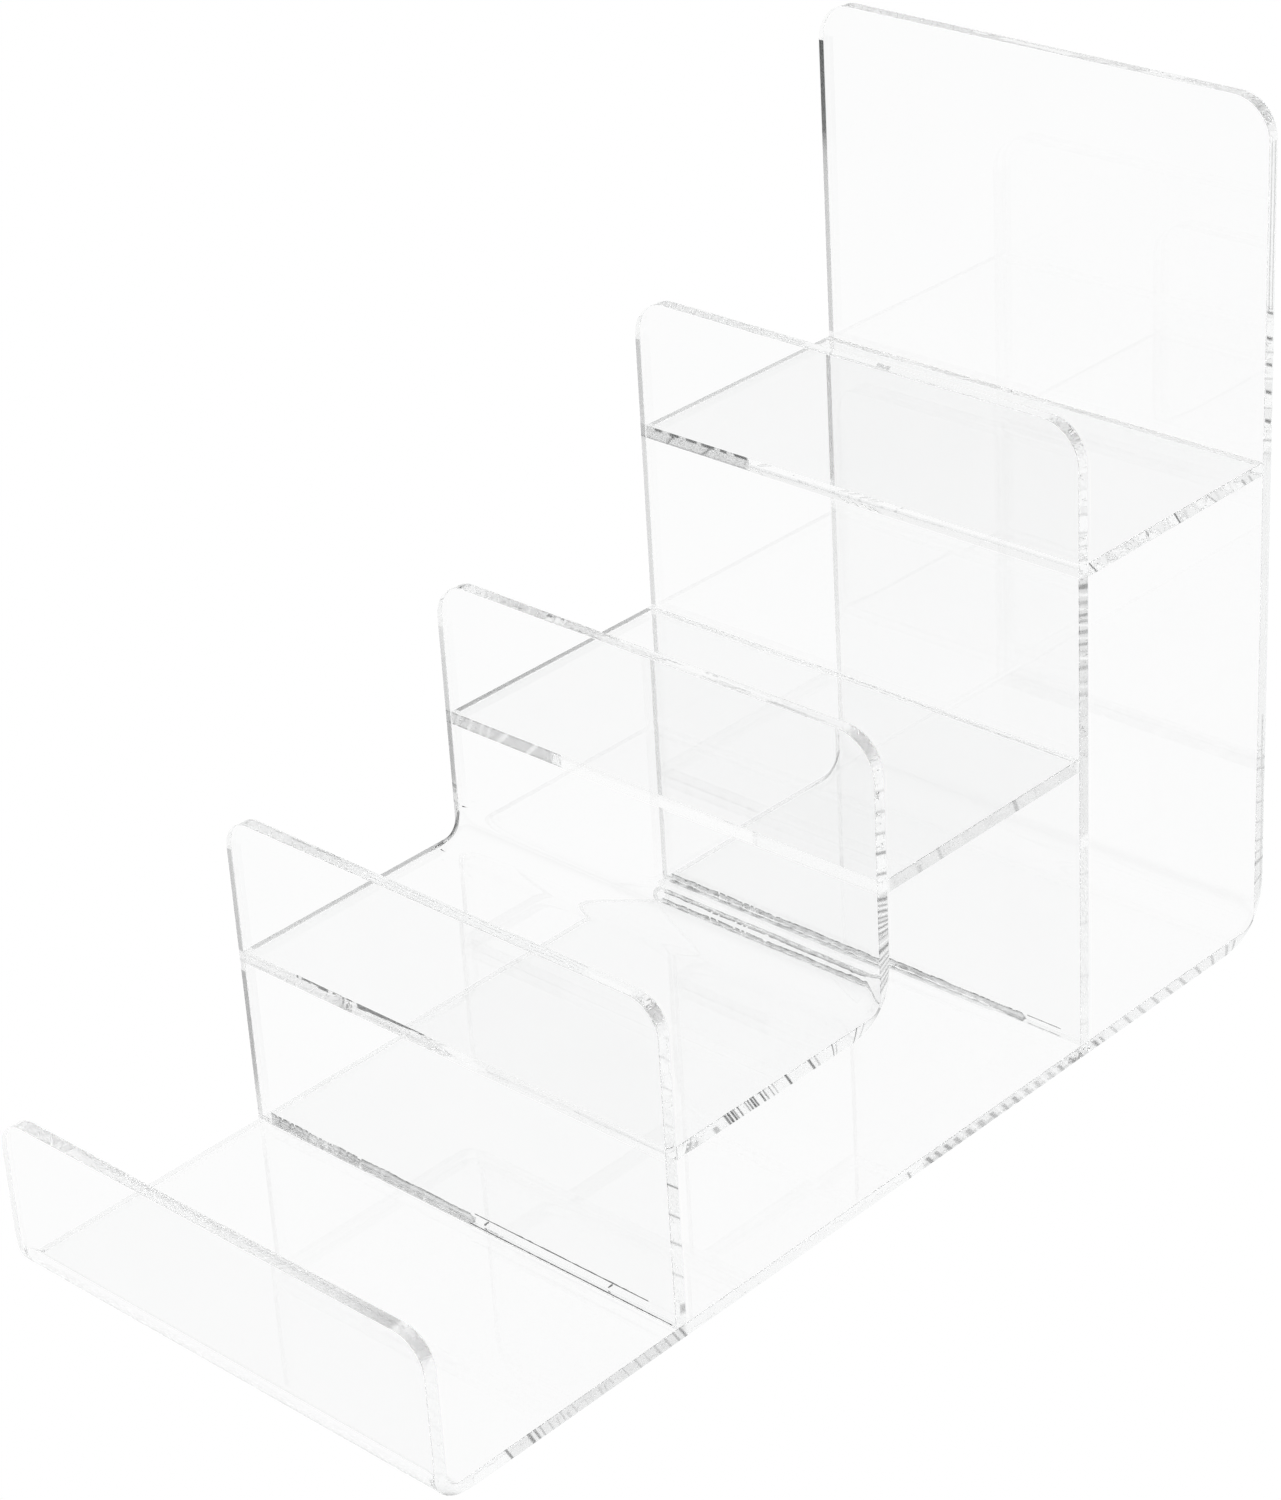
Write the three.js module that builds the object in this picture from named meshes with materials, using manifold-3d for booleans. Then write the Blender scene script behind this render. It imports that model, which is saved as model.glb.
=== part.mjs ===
// Clear acrylic step riser: six cut sheets of 3 mm acrylic and the seven cement seams that join them.
//
// Frame: millimetres, +Z up, origin on the floor under the middle of the object. The low lip is at -Y, the tall
// back panel at +Y, and the stand is the same from left to right.
import * as THREE from 'three';
import * as BufferGeometryUtils from 'three/addons/utils/BufferGeometryUtils.js';
import Module from 'manifold-3d';

// ---- driving dimensions ------------------------------------------------------------------------------------------
const WIDTH = 120; // left to right, the same for every sheet
const SHEET = 3; // sheet thickness
const CEMENT = 0.15; // thickness of a cement seam

// Distances from the outer face of the front lip, towards the back, to the front face of each upright.
const FRONT_RISER_Y = 65.5;
const STEP_RISER_Y = 129.25;
const TALL_RISER_Y = 194.25;
const BACK_Y = 258;
const DEPTH = BACK_Y + SHEET;

// Heights above the floor.
const LIP_TOP = 37.8;
const FRONT_RISER_TOP = 76.7;
const STEP_RISER_TOP = 105.2;
const TALL_RISER_TOP = 147.2;
const BACK_TOP = 196;
const LOW_SHELF_TOP = 44;
const MID_SHELF_TOP = 73;
const TOP_SHELF_TOP = 116.5;

// Rounded top corners of the uprights.
const CORNER_TALL = 9; // back panel, tall riser, step riser
const CORNER_LOW = 7.5; // front riser, lip

// Hot line bends: the outside is rounder than the inside, so the sheet thins at the bend.
const LIP_BEND = { inner: 3.5, outer: 7.5 };
const STEP_BEND = { inner: 3.6, outer: 10 };
const BACK_BEND = { inner: 4.2, outer: 10.8 };
const BEND_STEPS = 10;
const CORNER_STEPS = 10;

// How far each cement seam ran from left to right, and how far it stops short of the sheet's faces.
const FRONT_RISER_SEAM_X = [3, 59.5];
const MID_SHELF_SEAM_X = [-27, 60];
const TOP_SHELF_SEAM_X = [-29, 60];
const TALL_RISER_SEAM = { x: [-30, 59.5], widthLeft: 0.25, widthRight: 2.2 };
const SEAM_SHY = 0.25;

const HALF = WIDTH / 2;
const ROW_Y = -DEPTH / 2; // moves "from the lip" distances into the frame

// ---- helpers -----------------------------------------------------------------------------------------------------
const wasm = await Module();
wasm.setup();

const acrylic = () =>
  new THREE.MeshStandardMaterial({ color: 0xf6f8f8, roughness: 0.04, metalness: 0, transparent: true, opacity: 0.28 });
const cement = () =>
  new THREE.MeshStandardMaterial({ color: 0xf2f4f4, roughness: 0.12, metalness: 0, transparent: true, opacity: 0.4 });

function toSolid(geometry) {
  const bare = geometry.clone();
  bare.deleteAttribute('normal');
  bare.deleteAttribute('uv');
  const merged = BufferGeometryUtils.mergeVertices(bare, 1e-4);
  return new wasm.Manifold(
    new wasm.Mesh({
      numProp: 3,
      vertProperties: Float32Array.from(merged.attributes.position.array),
      triVerts: Uint32Array.from(merged.index.array),
    })
  );
}

function toGeometry(solid) {
  const mesh = solid.getMesh();
  const geometry = new THREE.BufferGeometry();
  geometry.setAttribute('position', new THREE.BufferAttribute(Float32Array.from(mesh.vertProperties), 3));
  geometry.setIndex(new THREE.BufferAttribute(Uint32Array.from(mesh.triVerts), 1));
  geometry.computeVertexNormals();
  return geometry;
}

// Points of a circular arc, ends included, in the plane of a profile.
function arc(cy, cz, radius, from, to, steps) {
  const points = [];
  for (let i = 0; i <= steps; i++) {
    const a = from + ((to - from) * i) / steps;
    points.push(new THREE.Vector2(cy + radius * Math.cos(a), cz + radius * Math.sin(a)));
  }
  return points;
}

// A side profile, given as (distance from the lip, height), drawn out to the full width of the stand.
function drawOut(profile) {
  const geometry = new THREE.ExtrudeGeometry(new THREE.Shape(profile), {
    depth: WIDTH,
    bevelEnabled: false,
    steps: 1,
    curveSegments: 1,
  });
  // Profile plane to Y-Z, drawn along X.
  geometry.applyMatrix4(new THREE.Matrix4().set(0, 0, 1, -HALF, 1, 0, 0, ROW_Y, 0, 1, 0, 0, 0, 0, 0, 1));
  return geometry;
}

// What is left over outside a rounded top corner, as a cutter through an upright.
function cornerCutter(side, top, radius, frontY) {
  const past = 2;
  const cx = side * (HALF - radius);
  const cz = top - radius;
  const points = arc(cx, cz, radius, side > 0 ? 0 : Math.PI, Math.PI / 2, CORNER_STEPS);
  const outline = [
    ...points,
    new THREE.Vector2(cx, top + past),
    new THREE.Vector2(side * (HALF + past), top + past),
    new THREE.Vector2(side * (HALF + past), cz),
  ];
  if (side < 0) outline.reverse();
  const geometry = new THREE.ExtrudeGeometry(new THREE.Shape(outline), { depth: SHEET + 2, bevelEnabled: false });
  // Outline plane to X-Z, drawn towards -Y.
  geometry.applyMatrix4(
    new THREE.Matrix4().set(1, 0, 0, 0, 0, 0, -1, ROW_Y + frontY + SHEET + 1, 0, 1, 0, 0, 0, 0, 0, 1)
  );
  return toSolid(geometry);
}

// A flat upright with two rounded top corners.
function upright(bottom, top, radius) {
  const shape = new THREE.Shape([
    new THREE.Vector2(-HALF, bottom),
    new THREE.Vector2(HALF, bottom),
    ...arc(HALF - radius, top - radius, radius, 0, Math.PI / 2, CORNER_STEPS),
    ...arc(-HALF + radius, top - radius, radius, Math.PI / 2, Math.PI, CORNER_STEPS),
  ]);
  return new THREE.ExtrudeGeometry(shape, { depth: SHEET, bevelEnabled: false });
}

function addUpright(group, name, geometry, frontY, material) {
  const mesh = new THREE.Mesh(geometry, material);
  mesh.name = name;
  mesh.rotation.x = Math.PI / 2; // stands the outline up; its thickness then runs towards -Y
  mesh.position.y = ROW_Y + frontY + SHEET;
  group.add(mesh);
}

// A box given by its limits from left to right, from the lip to the back, and from the floor up.
function addBox(group, name, [x0, x1], [y0, y1], [z0, z1], material) {
  const mesh = new THREE.Mesh(new THREE.BoxGeometry(x1 - x0, y1 - y0, z1 - z0), material);
  mesh.name = name;
  mesh.position.set((x0 + x1) / 2, ROW_Y + (y0 + y1) / 2, (z0 + z1) / 2);
  group.add(mesh);
}

function addSolid(group, name, solid, material) {
  const mesh = new THREE.Mesh(toGeometry(solid), material);
  mesh.name = name;
  group.add(mesh);
}

// ---- the object --------------------------------------------------------------------------------------------------
const riser = new THREE.Group();
riser.name = 'acrylic_step_riser';

// Base, lip and back: one sheet, bent up at the front and at the back.
{
  const quarter = Math.PI / 2;
  const profile = [
    // outside, from the lip's top down, under the floor and up the back
    new THREE.Vector2(0, LIP_TOP),
    ...arc(LIP_BEND.outer, LIP_BEND.outer, LIP_BEND.outer, 2 * quarter, 3 * quarter, BEND_STEPS),
    ...arc(DEPTH - BACK_BEND.outer, BACK_BEND.outer, BACK_BEND.outer, -quarter, 0, BEND_STEPS),
    new THREE.Vector2(DEPTH, BACK_TOP),
    // inside, from the back's top down, over the floor and up the lip
    new THREE.Vector2(BACK_Y, BACK_TOP),
    ...arc(BACK_Y - BACK_BEND.inner, SHEET + BACK_BEND.inner, BACK_BEND.inner, 0, -quarter, BEND_STEPS),
    ...arc(SHEET + LIP_BEND.inner, SHEET + LIP_BEND.inner, LIP_BEND.inner, 3 * quarter, 2 * quarter, BEND_STEPS),
    new THREE.Vector2(SHEET, LIP_TOP),
  ];
  let sheet = toSolid(drawOut(profile));
  for (const side of [-1, 1]) {
    sheet = sheet.subtract(cornerCutter(side, LIP_TOP, CORNER_LOW, 0));
    sheet = sheet.subtract(cornerCutter(side, BACK_TOP, CORNER_TALL, BACK_Y));
  }
  addSolid(riser, 'base_back_sheet', sheet, acrylic());
}

// First upright: flat, standing on the floor.
addUpright(
  riser,
  'front_riser',
  upright(SHEET + CEMENT, FRONT_RISER_TOP, CORNER_LOW),
  FRONT_RISER_Y,
  acrylic()
);

// First shelf and second upright: one sheet, bent up at the back of the shelf.
{
  const quarter = Math.PI / 2;
  const under = LOW_SHELF_TOP - SHEET;
  const behind = STEP_RISER_Y + SHEET;
  const front = FRONT_RISER_Y + SHEET + CEMENT;
  const profile = [
    new THREE.Vector2(front, under),
    ...arc(behind - STEP_BEND.outer, under + STEP_BEND.outer, STEP_BEND.outer, -quarter, 0, BEND_STEPS),
    new THREE.Vector2(behind, STEP_RISER_TOP),
    new THREE.Vector2(STEP_RISER_Y, STEP_RISER_TOP),
    ...arc(STEP_RISER_Y - STEP_BEND.inner, LOW_SHELF_TOP + STEP_BEND.inner, STEP_BEND.inner, 0, -quarter, BEND_STEPS),
    new THREE.Vector2(front, LOW_SHELF_TOP),
  ];
  let sheet = toSolid(drawOut(profile));
  for (const side of [-1, 1]) sheet = sheet.subtract(cornerCutter(side, STEP_RISER_TOP, CORNER_TALL, STEP_RISER_Y));
  addSolid(riser, 'step_sheet', sheet, acrylic());
}

// Second shelf: flat, between the second upright and the tall one.
addBox(
  riser,
  'mid_shelf',
  [-HALF, HALF],
  [STEP_RISER_Y + SHEET + CEMENT, TALL_RISER_Y - CEMENT],
  [MID_SHELF_TOP - SHEET, MID_SHELF_TOP],
  acrylic()
);

// Third upright: flat, standing on the floor.
addUpright(riser, 'tall_riser', upright(SHEET + CEMENT, TALL_RISER_TOP, CORNER_TALL), TALL_RISER_Y, acrylic());

// Third shelf: flat, between the tall upright and the back panel.
addBox(
  riser,
  'top_shelf',
  [-HALF, HALF],
  [TALL_RISER_Y + SHEET + CEMENT, BACK_Y - CEMENT],
  [TOP_SHELF_TOP - SHEET, TOP_SHELF_TOP],
  acrylic()
);

// Cement under the two uprights that stand on the floor.
addBox(
  riser,
  'seam_front_riser_base',
  FRONT_RISER_SEAM_X,
  [FRONT_RISER_Y + SEAM_SHY, FRONT_RISER_Y + SHEET - SEAM_SHY],
  [SHEET, SHEET + CEMENT],
  cement()
);
{
  // This one ran in from the right: wide there, and a thread where it stops.
  const { x, widthLeft, widthRight } = TALL_RISER_SEAM;
  const y = ROW_Y + TALL_RISER_Y;
  const shape = new THREE.Shape([
    new THREE.Vector2(x[0], y),
    new THREE.Vector2(x[1], y),
    new THREE.Vector2(x[1], y + widthRight),
    new THREE.Vector2(x[0], y + widthLeft),
  ]);
  const mesh = new THREE.Mesh(new THREE.ExtrudeGeometry(shape, { depth: CEMENT, bevelEnabled: false }), cement());
  mesh.name = 'seam_tall_riser_base';
  mesh.position.z = SHEET;
  riser.add(mesh);
}

// Cement on the front and back edges of the shelves.
addBox(
  riser,
  'seam_step_front_riser',
  [-HALF, HALF],
  [FRONT_RISER_Y + SHEET, FRONT_RISER_Y + SHEET + CEMENT],
  [LOW_SHELF_TOP - SHEET + SEAM_SHY, LOW_SHELF_TOP - SEAM_SHY],
  cement()
);
addBox(
  riser,
  'seam_mid_shelf_step',
  MID_SHELF_SEAM_X,
  [STEP_RISER_Y + SHEET, STEP_RISER_Y + SHEET + CEMENT],
  [MID_SHELF_TOP - SHEET, MID_SHELF_TOP],
  cement()
);
addBox(
  riser,
  'seam_mid_shelf_tall_riser',
  [-HALF, HALF],
  [TALL_RISER_Y - CEMENT, TALL_RISER_Y],
  [MID_SHELF_TOP - SHEET, MID_SHELF_TOP],
  cement()
);
addBox(
  riser,
  'seam_top_shelf_tall_riser',
  TOP_SHELF_SEAM_X,
  [TALL_RISER_Y + SHEET, TALL_RISER_Y + SHEET + CEMENT],
  [TOP_SHELF_TOP - SHEET, TOP_SHELF_TOP],
  cement()
);
addBox(
  riser,
  'seam_top_shelf_back',
  [-HALF, HALF],
  [BACK_Y - CEMENT, BACK_Y],
  [TOP_SHELF_TOP - SHEET + SEAM_SHY, TOP_SHELF_TOP - SEAM_SHY],
  cement()
);

export default riser;
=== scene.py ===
import math

import bpy
import numpy as np
from mathutils import Matrix, Vector
from mathutils.geometry import delaunay_2d_cdt


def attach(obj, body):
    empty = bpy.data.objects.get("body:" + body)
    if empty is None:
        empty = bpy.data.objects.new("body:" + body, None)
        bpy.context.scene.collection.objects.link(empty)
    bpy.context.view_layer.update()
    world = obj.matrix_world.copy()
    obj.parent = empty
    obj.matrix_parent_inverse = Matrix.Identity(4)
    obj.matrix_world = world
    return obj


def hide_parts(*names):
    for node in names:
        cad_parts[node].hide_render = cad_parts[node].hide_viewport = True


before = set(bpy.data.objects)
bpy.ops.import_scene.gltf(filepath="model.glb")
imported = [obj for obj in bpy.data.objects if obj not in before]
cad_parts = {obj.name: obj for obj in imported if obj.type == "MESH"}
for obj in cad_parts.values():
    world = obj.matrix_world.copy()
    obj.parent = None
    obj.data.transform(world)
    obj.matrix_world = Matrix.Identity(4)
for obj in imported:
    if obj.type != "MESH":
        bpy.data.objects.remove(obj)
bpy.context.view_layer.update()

# ---------------------------------------------------------------------------------------------------------------
# Dimensions, in millimetres, as in the CAD. Distances "y" run from the outer face of the front lip to the back.
# ---------------------------------------------------------------------------------------------------------------
HALF = 60.0
T = 3.0
FILM = 0.15
Y_LIP = -130.5  # where the lip's outer face is in the frame
Y1, Y2, Y3, YB = 65.5, 129.25, 194.25, 258.0
H_LIP, H1, H2, H3, HB = 37.8, 76.7, 105.2, 147.2, 196.0
S1, S2, S3 = 44.0, 73.0, 116.5
CORNER_TALL, CORNER_LOW = 9.0, 7.5
PAINTED_SHADE_RIM_X = -58.6  # face A is painted grey out to here along its left side: painted shade for the dark left cut seen through the face

STEP_ALONG = 0.22  # spacing of the points along an end
STEP_RIGHT, STEP_LEFT = 0.13, 0.32  # and along the two sides: the right-hand ones carry the cutter marks
ROWS = 24  # cells across a cut edge
ARRIS = 0.12  # broken corner between a face and a cut edge
JOINT_X = np.linspace(-59.6, 59.6, 299)  # columns shared by the two sides of every joint
JOINT_W = np.linspace(0.0, T, ROWS + 1)  # rows shared by the two sides of every joint

BEND_X = np.array([-59.0, -58.4, -57.8, -57.2, -56.6, -56, -55.4, -30, -10, 10, 30, 55.4, 56, 56.6, 57.2, 57.8, 58.4, 59.0])  # columns across a bend

MAT_FACE, MAT_EDGE, MAT_BOND = 0, 1, 2


# ---------------------------------------------------------------------------------------------------------------
# Materials
# ---------------------------------------------------------------------------------------------------------------
def new_material(name):
    mat = bpy.data.materials.new(name)
    mat.use_nodes = True
    nt = mat.node_tree
    nt.nodes.clear()
    out = nt.nodes.new("ShaderNodeOutputMaterial")
    return mat, nt, out


def face_material():
    """Polished cast sheet: clear, with the faint unevenness of a cast face."""
    mat, nt, out = new_material("acrylic_polished_face")
    bsdf = nt.nodes.new("ShaderNodeBsdfPrincipled")
    bsdf.inputs["IOR"].default_value = 1.49
    bsdf.inputs["Transmission Weight"].default_value = 1.0
    coord = nt.nodes.new("ShaderNodeTexCoord")
    haze = nt.nodes.new("ShaderNodeTexNoise")
    haze.inputs["Scale"].default_value = 38.0
    haze.inputs["Detail"].default_value = 4.0
    haze.inputs["Roughness"].default_value = 0.55
    nt.links.new(coord.outputs["Object"], haze.inputs["Vector"])
    tone = nt.nodes.new("ShaderNodeValToRGB")
    tone.color_ramp.elements[0].position = 0.3
    tone.color_ramp.elements[0].color = (0.968, 0.970, 0.970, 1)
    tone.color_ramp.elements[1].position = 0.7
    tone.color_ramp.elements[1].color = (0.976, 0.977, 0.977, 1)
    nt.links.new(haze.outputs["Fac"], tone.inputs["Fac"])
    nt.links.new(tone.outputs["Color"], bsdf.inputs["Base Color"])
    gloss = nt.nodes.new("ShaderNodeMapRange")
    gloss.inputs["From Min"].default_value = 0.3
    gloss.inputs["From Max"].default_value = 0.8
    gloss.inputs["To Min"].default_value = 0.0
    gloss.inputs["To Max"].default_value = 0.012
    nt.links.new(haze.outputs["Fac"], gloss.inputs["Value"])
    nt.links.new(gloss.outputs["Result"], bsdf.inputs["Roughness"])
    nt.links.new(bsdf.outputs["BSDF"], out.inputs["Surface"])
    return mat


def edge_material():
    """Machine-cut edge: faint saw lines along it, chatter marks across it, and light lost inside the cut. Also laid on
    a strip along the left of face A, where its dark tone is painted shade for the left cut seen through the face.
    """
    mat, nt, out = new_material("acrylic_cut_edge")
    # how dark the tone is: the cut marks, and the painted shade strip along the left of face A
    marks_and_painted_shade = nt.nodes.new("ShaderNodeAttribute")
    marks_and_painted_shade.attribute_name = "marks_and_painted_shade"
    loss = nt.nodes.new("ShaderNodeAttribute")
    loss.attribute_name = "loss"
    along = nt.nodes.new("ShaderNodeAttribute")
    along.attribute_name = "along"

    # saw lines: a noise that changes slowly along the edge and quickly across it
    lines = nt.nodes.new("ShaderNodeTexNoise")
    lines.inputs["Scale"].default_value = 1.0
    lines.inputs["Detail"].default_value = 2.0
    nt.links.new(along.outputs["Vector"], lines.inputs["Vector"])
    bump = nt.nodes.new("ShaderNodeBump")
    bump.inputs["Strength"].default_value = 0.01
    bump.inputs["Distance"].default_value = 0.00002
    nt.links.new(lines.outputs["Fac"], bump.inputs["Height"])

    tone = nt.nodes.new("ShaderNodeMix")
    tone.data_type = "RGBA"
    tone.inputs["A"].default_value = (0.965, 0.969, 0.969, 1)
    tone.inputs["B"].default_value = (0.010, 0.011, 0.011, 1)
    nt.links.new(marks_and_painted_shade.outputs["Fac"], tone.inputs["Factor"])

    rough = nt.nodes.new("ShaderNodeMapRange")
    rough.inputs["From Min"].default_value = 0.3
    rough.inputs["From Max"].default_value = 0.7
    rough.inputs["To Min"].default_value = 0.003
    rough.inputs["To Max"].default_value = 0.014
    nt.links.new(lines.outputs["Fac"], rough.inputs["Value"])

    glass = nt.nodes.new("ShaderNodeBsdfPrincipled")
    glass.inputs["IOR"].default_value = 1.49
    glass.inputs["Transmission Weight"].default_value = 1.0
    nt.links.new(tone.outputs["Result"], glass.inputs["Base Color"])
    nt.links.new(rough.outputs["Result"], glass.inputs["Roughness"])
    nt.links.new(bump.outputs["Normal"], glass.inputs["Normal"])

    through = nt.nodes.new("ShaderNodeBsdfRefraction")
    through.inputs["IOR"].default_value = 1.49
    through.inputs["Roughness"].default_value = 0.45
    nt.links.new(tone.outputs["Result"], through.inputs["Color"])
    nt.links.new(bump.outputs["Normal"], through.inputs["Normal"])

    mix = nt.nodes.new("ShaderNodeMixShader")
    nt.links.new(loss.outputs["Fac"], mix.inputs["Fac"])
    nt.links.new(glass.outputs["BSDF"], mix.inputs[1])
    nt.links.new(through.outputs["BSDF"], mix.inputs[2])
    nt.links.new(mix.outputs["Shader"], out.inputs["Surface"])
    return mat


def bond_material():
    """Where the cement wetted both sheets there is no surface left to see."""
    mat, nt, out = new_material("acrylic_bonded")
    clear = nt.nodes.new("ShaderNodeBsdfTransparent")
    nt.links.new(clear.outputs["BSDF"], out.inputs["Surface"])
    return mat


def cement_material():
    """The free side of a cured cement seam: a clear, slightly wavy meniscus, clouded where it dried with bubbles."""
    mat, nt, out = new_material("cement_meniscus")
    bsdf = nt.nodes.new("ShaderNodeBsdfPrincipled")
    bsdf.inputs["IOR"].default_value = 1.49
    bsdf.inputs["Transmission Weight"].default_value = 1.0
    cloud = nt.nodes.new("ShaderNodeAttribute")
    cloud.attribute_name = "marks_and_painted_shade"
    coord = nt.nodes.new("ShaderNodeTexCoord")
    noise = nt.nodes.new("ShaderNodeTexNoise")
    noise.inputs["Scale"].default_value = 900.0
    nt.links.new(coord.outputs["Object"], noise.inputs["Vector"])
    tone = nt.nodes.new("ShaderNodeMix")
    tone.data_type = "RGBA"
    tone.inputs["A"].default_value = (0.955, 0.96, 0.96, 1)
    tone.inputs["B"].default_value = (0.02, 0.021, 0.021, 1)
    nt.links.new(cloud.outputs["Fac"], tone.inputs["Factor"])
    nt.links.new(tone.outputs["Result"], bsdf.inputs["Base Color"])
    rough = nt.nodes.new("ShaderNodeMapRange")
    rough.inputs["To Min"].default_value = 0.0
    rough.inputs["To Max"].default_value = 0.12
    nt.links.new(noise.outputs["Fac"], rough.inputs["Value"])
    nt.links.new(rough.outputs["Result"], bsdf.inputs["Roughness"])
    nt.links.new(bsdf.outputs["BSDF"], out.inputs["Surface"])
    return mat


FACE = face_material()
EDGE = edge_material()
BOND = bond_material()
CEMENT = cement_material()


# ---------------------------------------------------------------------------------------------------------------
# Side profiles. A sheet runs along s; side A and side B are its two faces, as (y, z) points at the same s.
# ---------------------------------------------------------------------------------------------------------------
class Profile:
    """A sheet's side profile. At a bend, "a" and "b" hold at the two sides of the sheet, where the hot edge was
    squeezed, and "a_mid" and "b_mid" in the middle of its width."""

    def __init__(self, a, b, bends=(), a_mid=None, b_mid=None):
        self.a = np.array(a, float)
        self.b = np.array(b, float)
        self.a_mid = self.a if a_mid is None else np.array(a_mid, float)
        self.b_mid = self.b if b_mid is None else np.array(b_mid, float)
        step = np.hypot(*np.diff(self.a, axis=0).T)
        self.s = np.concatenate([[0.0], np.cumsum(step)])
        self.bends = [(self.s[i], self.s[j]) for i, j in bends]
        self.knots = np.concatenate([self.s[i:j + 1] for i, j in bends]) if bends else np.zeros(0)
        self.length = float(self.s[-1])

    def at(self, x, s, w):
        """Points of the sheet, in millimetres in the frame, at width x, run s and depth w below face A."""
        f = np.asarray(w) / T
        k = np.clip((HALF - np.abs(x)) / 4.0, 0, 1)
        k = k * k * (3 - 2 * k)

        def side(i):
            lo = np.interp(s, self.s, self.a[:, i]) * (1 - k) + np.interp(s, self.s, self.a_mid[:, i]) * k
            hi = np.interp(s, self.s, self.b[:, i]) * (1 - k) + np.interp(s, self.s, self.b_mid[:, i]) * k
            return lo * (1 - f) + hi * f

        return np.stack(np.broadcast_arrays(x, side(0) + Y_LIP, side(1)), -1)

    def bend_weight(self, s):
        """0 on the flats, 1 in the middle of a bend."""
        out = np.zeros_like(s)
        for s0, s1 in self.bends:
            u = (s - s0) / (s1 - s0)
            out = np.maximum(out, np.where((u > -0.6) & (u < 1.6), np.cos(np.clip((u - 0.5) / 1.1, -1, 1) * math.pi / 2) ** 2, 0.0))
        return out


def arc(cy, cz, r, a0, a1, n):
    a = np.radians(np.linspace(a0, a1, n + 1))
    return list(zip(cy + r * np.cos(a), cz + r * np.sin(a)))


def eased_bend(y, z, length, ease, thin, n):
    """The two faces of a line bend from a level sheet (upper face at z) up into an upright (front face at y).

    length is measured along the middle of the sheet; ease (0 to 1) says how softly the bend starts and ends, and thin
    how much the sheet was drawn out in the middle of it."""
    u = np.linspace(0, 1, n * 20 + 1)
    th = math.pi / 2 * ((1 - ease) * u + ease * u * u * (3 - 2 * u))
    mid = (th[1:] + th[:-1]) / 2
    cy = np.concatenate([[0], np.cumsum(np.cos(mid))]) * length / (n * 20)
    cz = np.concatenate([[0], np.cumsum(np.sin(mid))]) * length / (n * 20)
    cy += y + T / 2 - cy[-1]
    cz += z - T / 2
    h = T / 2 - thin / 2 * np.sin(2 * th)
    a = list(zip(cy - np.sin(th) * h, cz + np.cos(th) * h))[::20]
    b = list(zip(cy + np.sin(th) * h, cz - np.cos(th) * h))[::20]
    return a, b


def base_profile():
    n = 30

    def sides(lip, back):
        a = [(T, H_LIP), (T, 16.0)] + arc(T + lip[0], T + lip[0], lip[0], 180, 270, n)
        b = [(0, H_LIP), (0, 16.0)] + arc(lip[1], lip[1], lip[1], 180, 270, n)
        a += [(22.0, T), (236.0, T)] + arc(YB - back[0], T + back[0], back[0], 270, 360, n)
        b += [(22.0, 0), (236.0, 0)] + arc(YB + T - back[1], back[1], back[1], 270, 360, n)
        return a + [(YB, 26.0), (YB, HB)], b + [(YB + T, 26.0), (YB + T, HB)]

    a, b = sides((3.5, 7.5), (4.2, 10.8))
    am, bm = sides((4.5, 7.5), (7.8, 10.8))
    return Profile(a, b, [(2, 2 + n), (n + 5, 2 * n + 5)], am, bm)


def step_profile():
    n = 30
    front = Y1 + T + FILM

    def sides(ri, ro):
        a = [(front, S1), (110.0, S1)] + arc(Y2 - ri, S1 + ri, ri, 270, 360, n) + [(Y2, 66.0), (Y2, H2)]
        b = [(front, S1 - T), (110.0, S1 - T)] + arc(Y2 + T - ro, S1 - T + ro, ro, 270, 360, n) + [(Y2 + T, 66.0), (Y2 + T, H2)]
        return a, b

    a, b = sides(3.6, 10.0)
    bend_a, bend_b = eased_bend(Y2, S1, 14.9, 0.9, 0.08, n)
    am = [(front, S1), (110.0, S1)] + bend_a + [(Y2, 66.0), (Y2, H2)]
    bm = [(front, S1 - T), (110.0, S1 - T)] + bend_b + [(Y2 + T, 66.0), (Y2 + T, H2)]
    return Profile(a, b, [(2, 2 + n)], am, bm)


def upright_profile(y, z0, z1):
    return Profile([(y, z0), (y, z1)], [(y + T, z0), (y + T, z1)])


def shelf_profile(y0, y1, top):
    return Profile([(y0, top), (y1, top)], [(y0, top - T), (y1, top - T)])


BASE = base_profile()
STEP = step_profile()
FLOOR_S0 = float(np.interp(22.0, BASE.a[:, 0][33:36], BASE.s[33:36])) - 22.0  # s = FLOOR_S0 + y on the floor
BACK_S0 = BASE.length - HB  # s = BACK_S0 + z on the back panel
STEP_UP_S0 = STEP.length - H2  # s = STEP_UP_S0 + z on the step sheet's upright


# ---------------------------------------------------------------------------------------------------------------
# Joints: which cells of each joint the cement filled. Rows run with w across the owner's cut edge.
# ---------------------------------------------------------------------------------------------------------------
XC = (JOINT_X[:-1] + JOINT_X[1:]) / 2
WC = (JOINT_W[:-1] + JOINT_W[1:]) / 2


def smooth_noise(seed, size, period):
    """Seeded one-dimensional noise along a joint, about -1 to 1."""
    rng = np.random.RandomState(seed)
    n = int(math.ceil(2 * HALF / period)) + 3
    knots = rng.uniform(-1, 1, n)
    u = (size + HALF) / period
    i = np.floor(u).astype(int)
    f = u - i
    f = f * f * (3 - 2 * f)
    return knots[i % n] * (1 - f) + knots[(i + 1) % n] * f


def no_corner_touch(mask):
    """Fills cells so that two filled cells never meet only at a corner."""
    mask = mask.copy()
    for _ in range(8):
        a, b = mask[:-1, :-1], mask[1:, 1:]
        c, d = mask[1:, :-1], mask[:-1, 1:]
        one = a & b & ~c & ~d
        two = c & d & ~a & ~b
        if not (one.any() or two.any()):
            break
        mask[1:, :-1] |= one
        mask[:-1, :-1] |= two
    return mask


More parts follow.
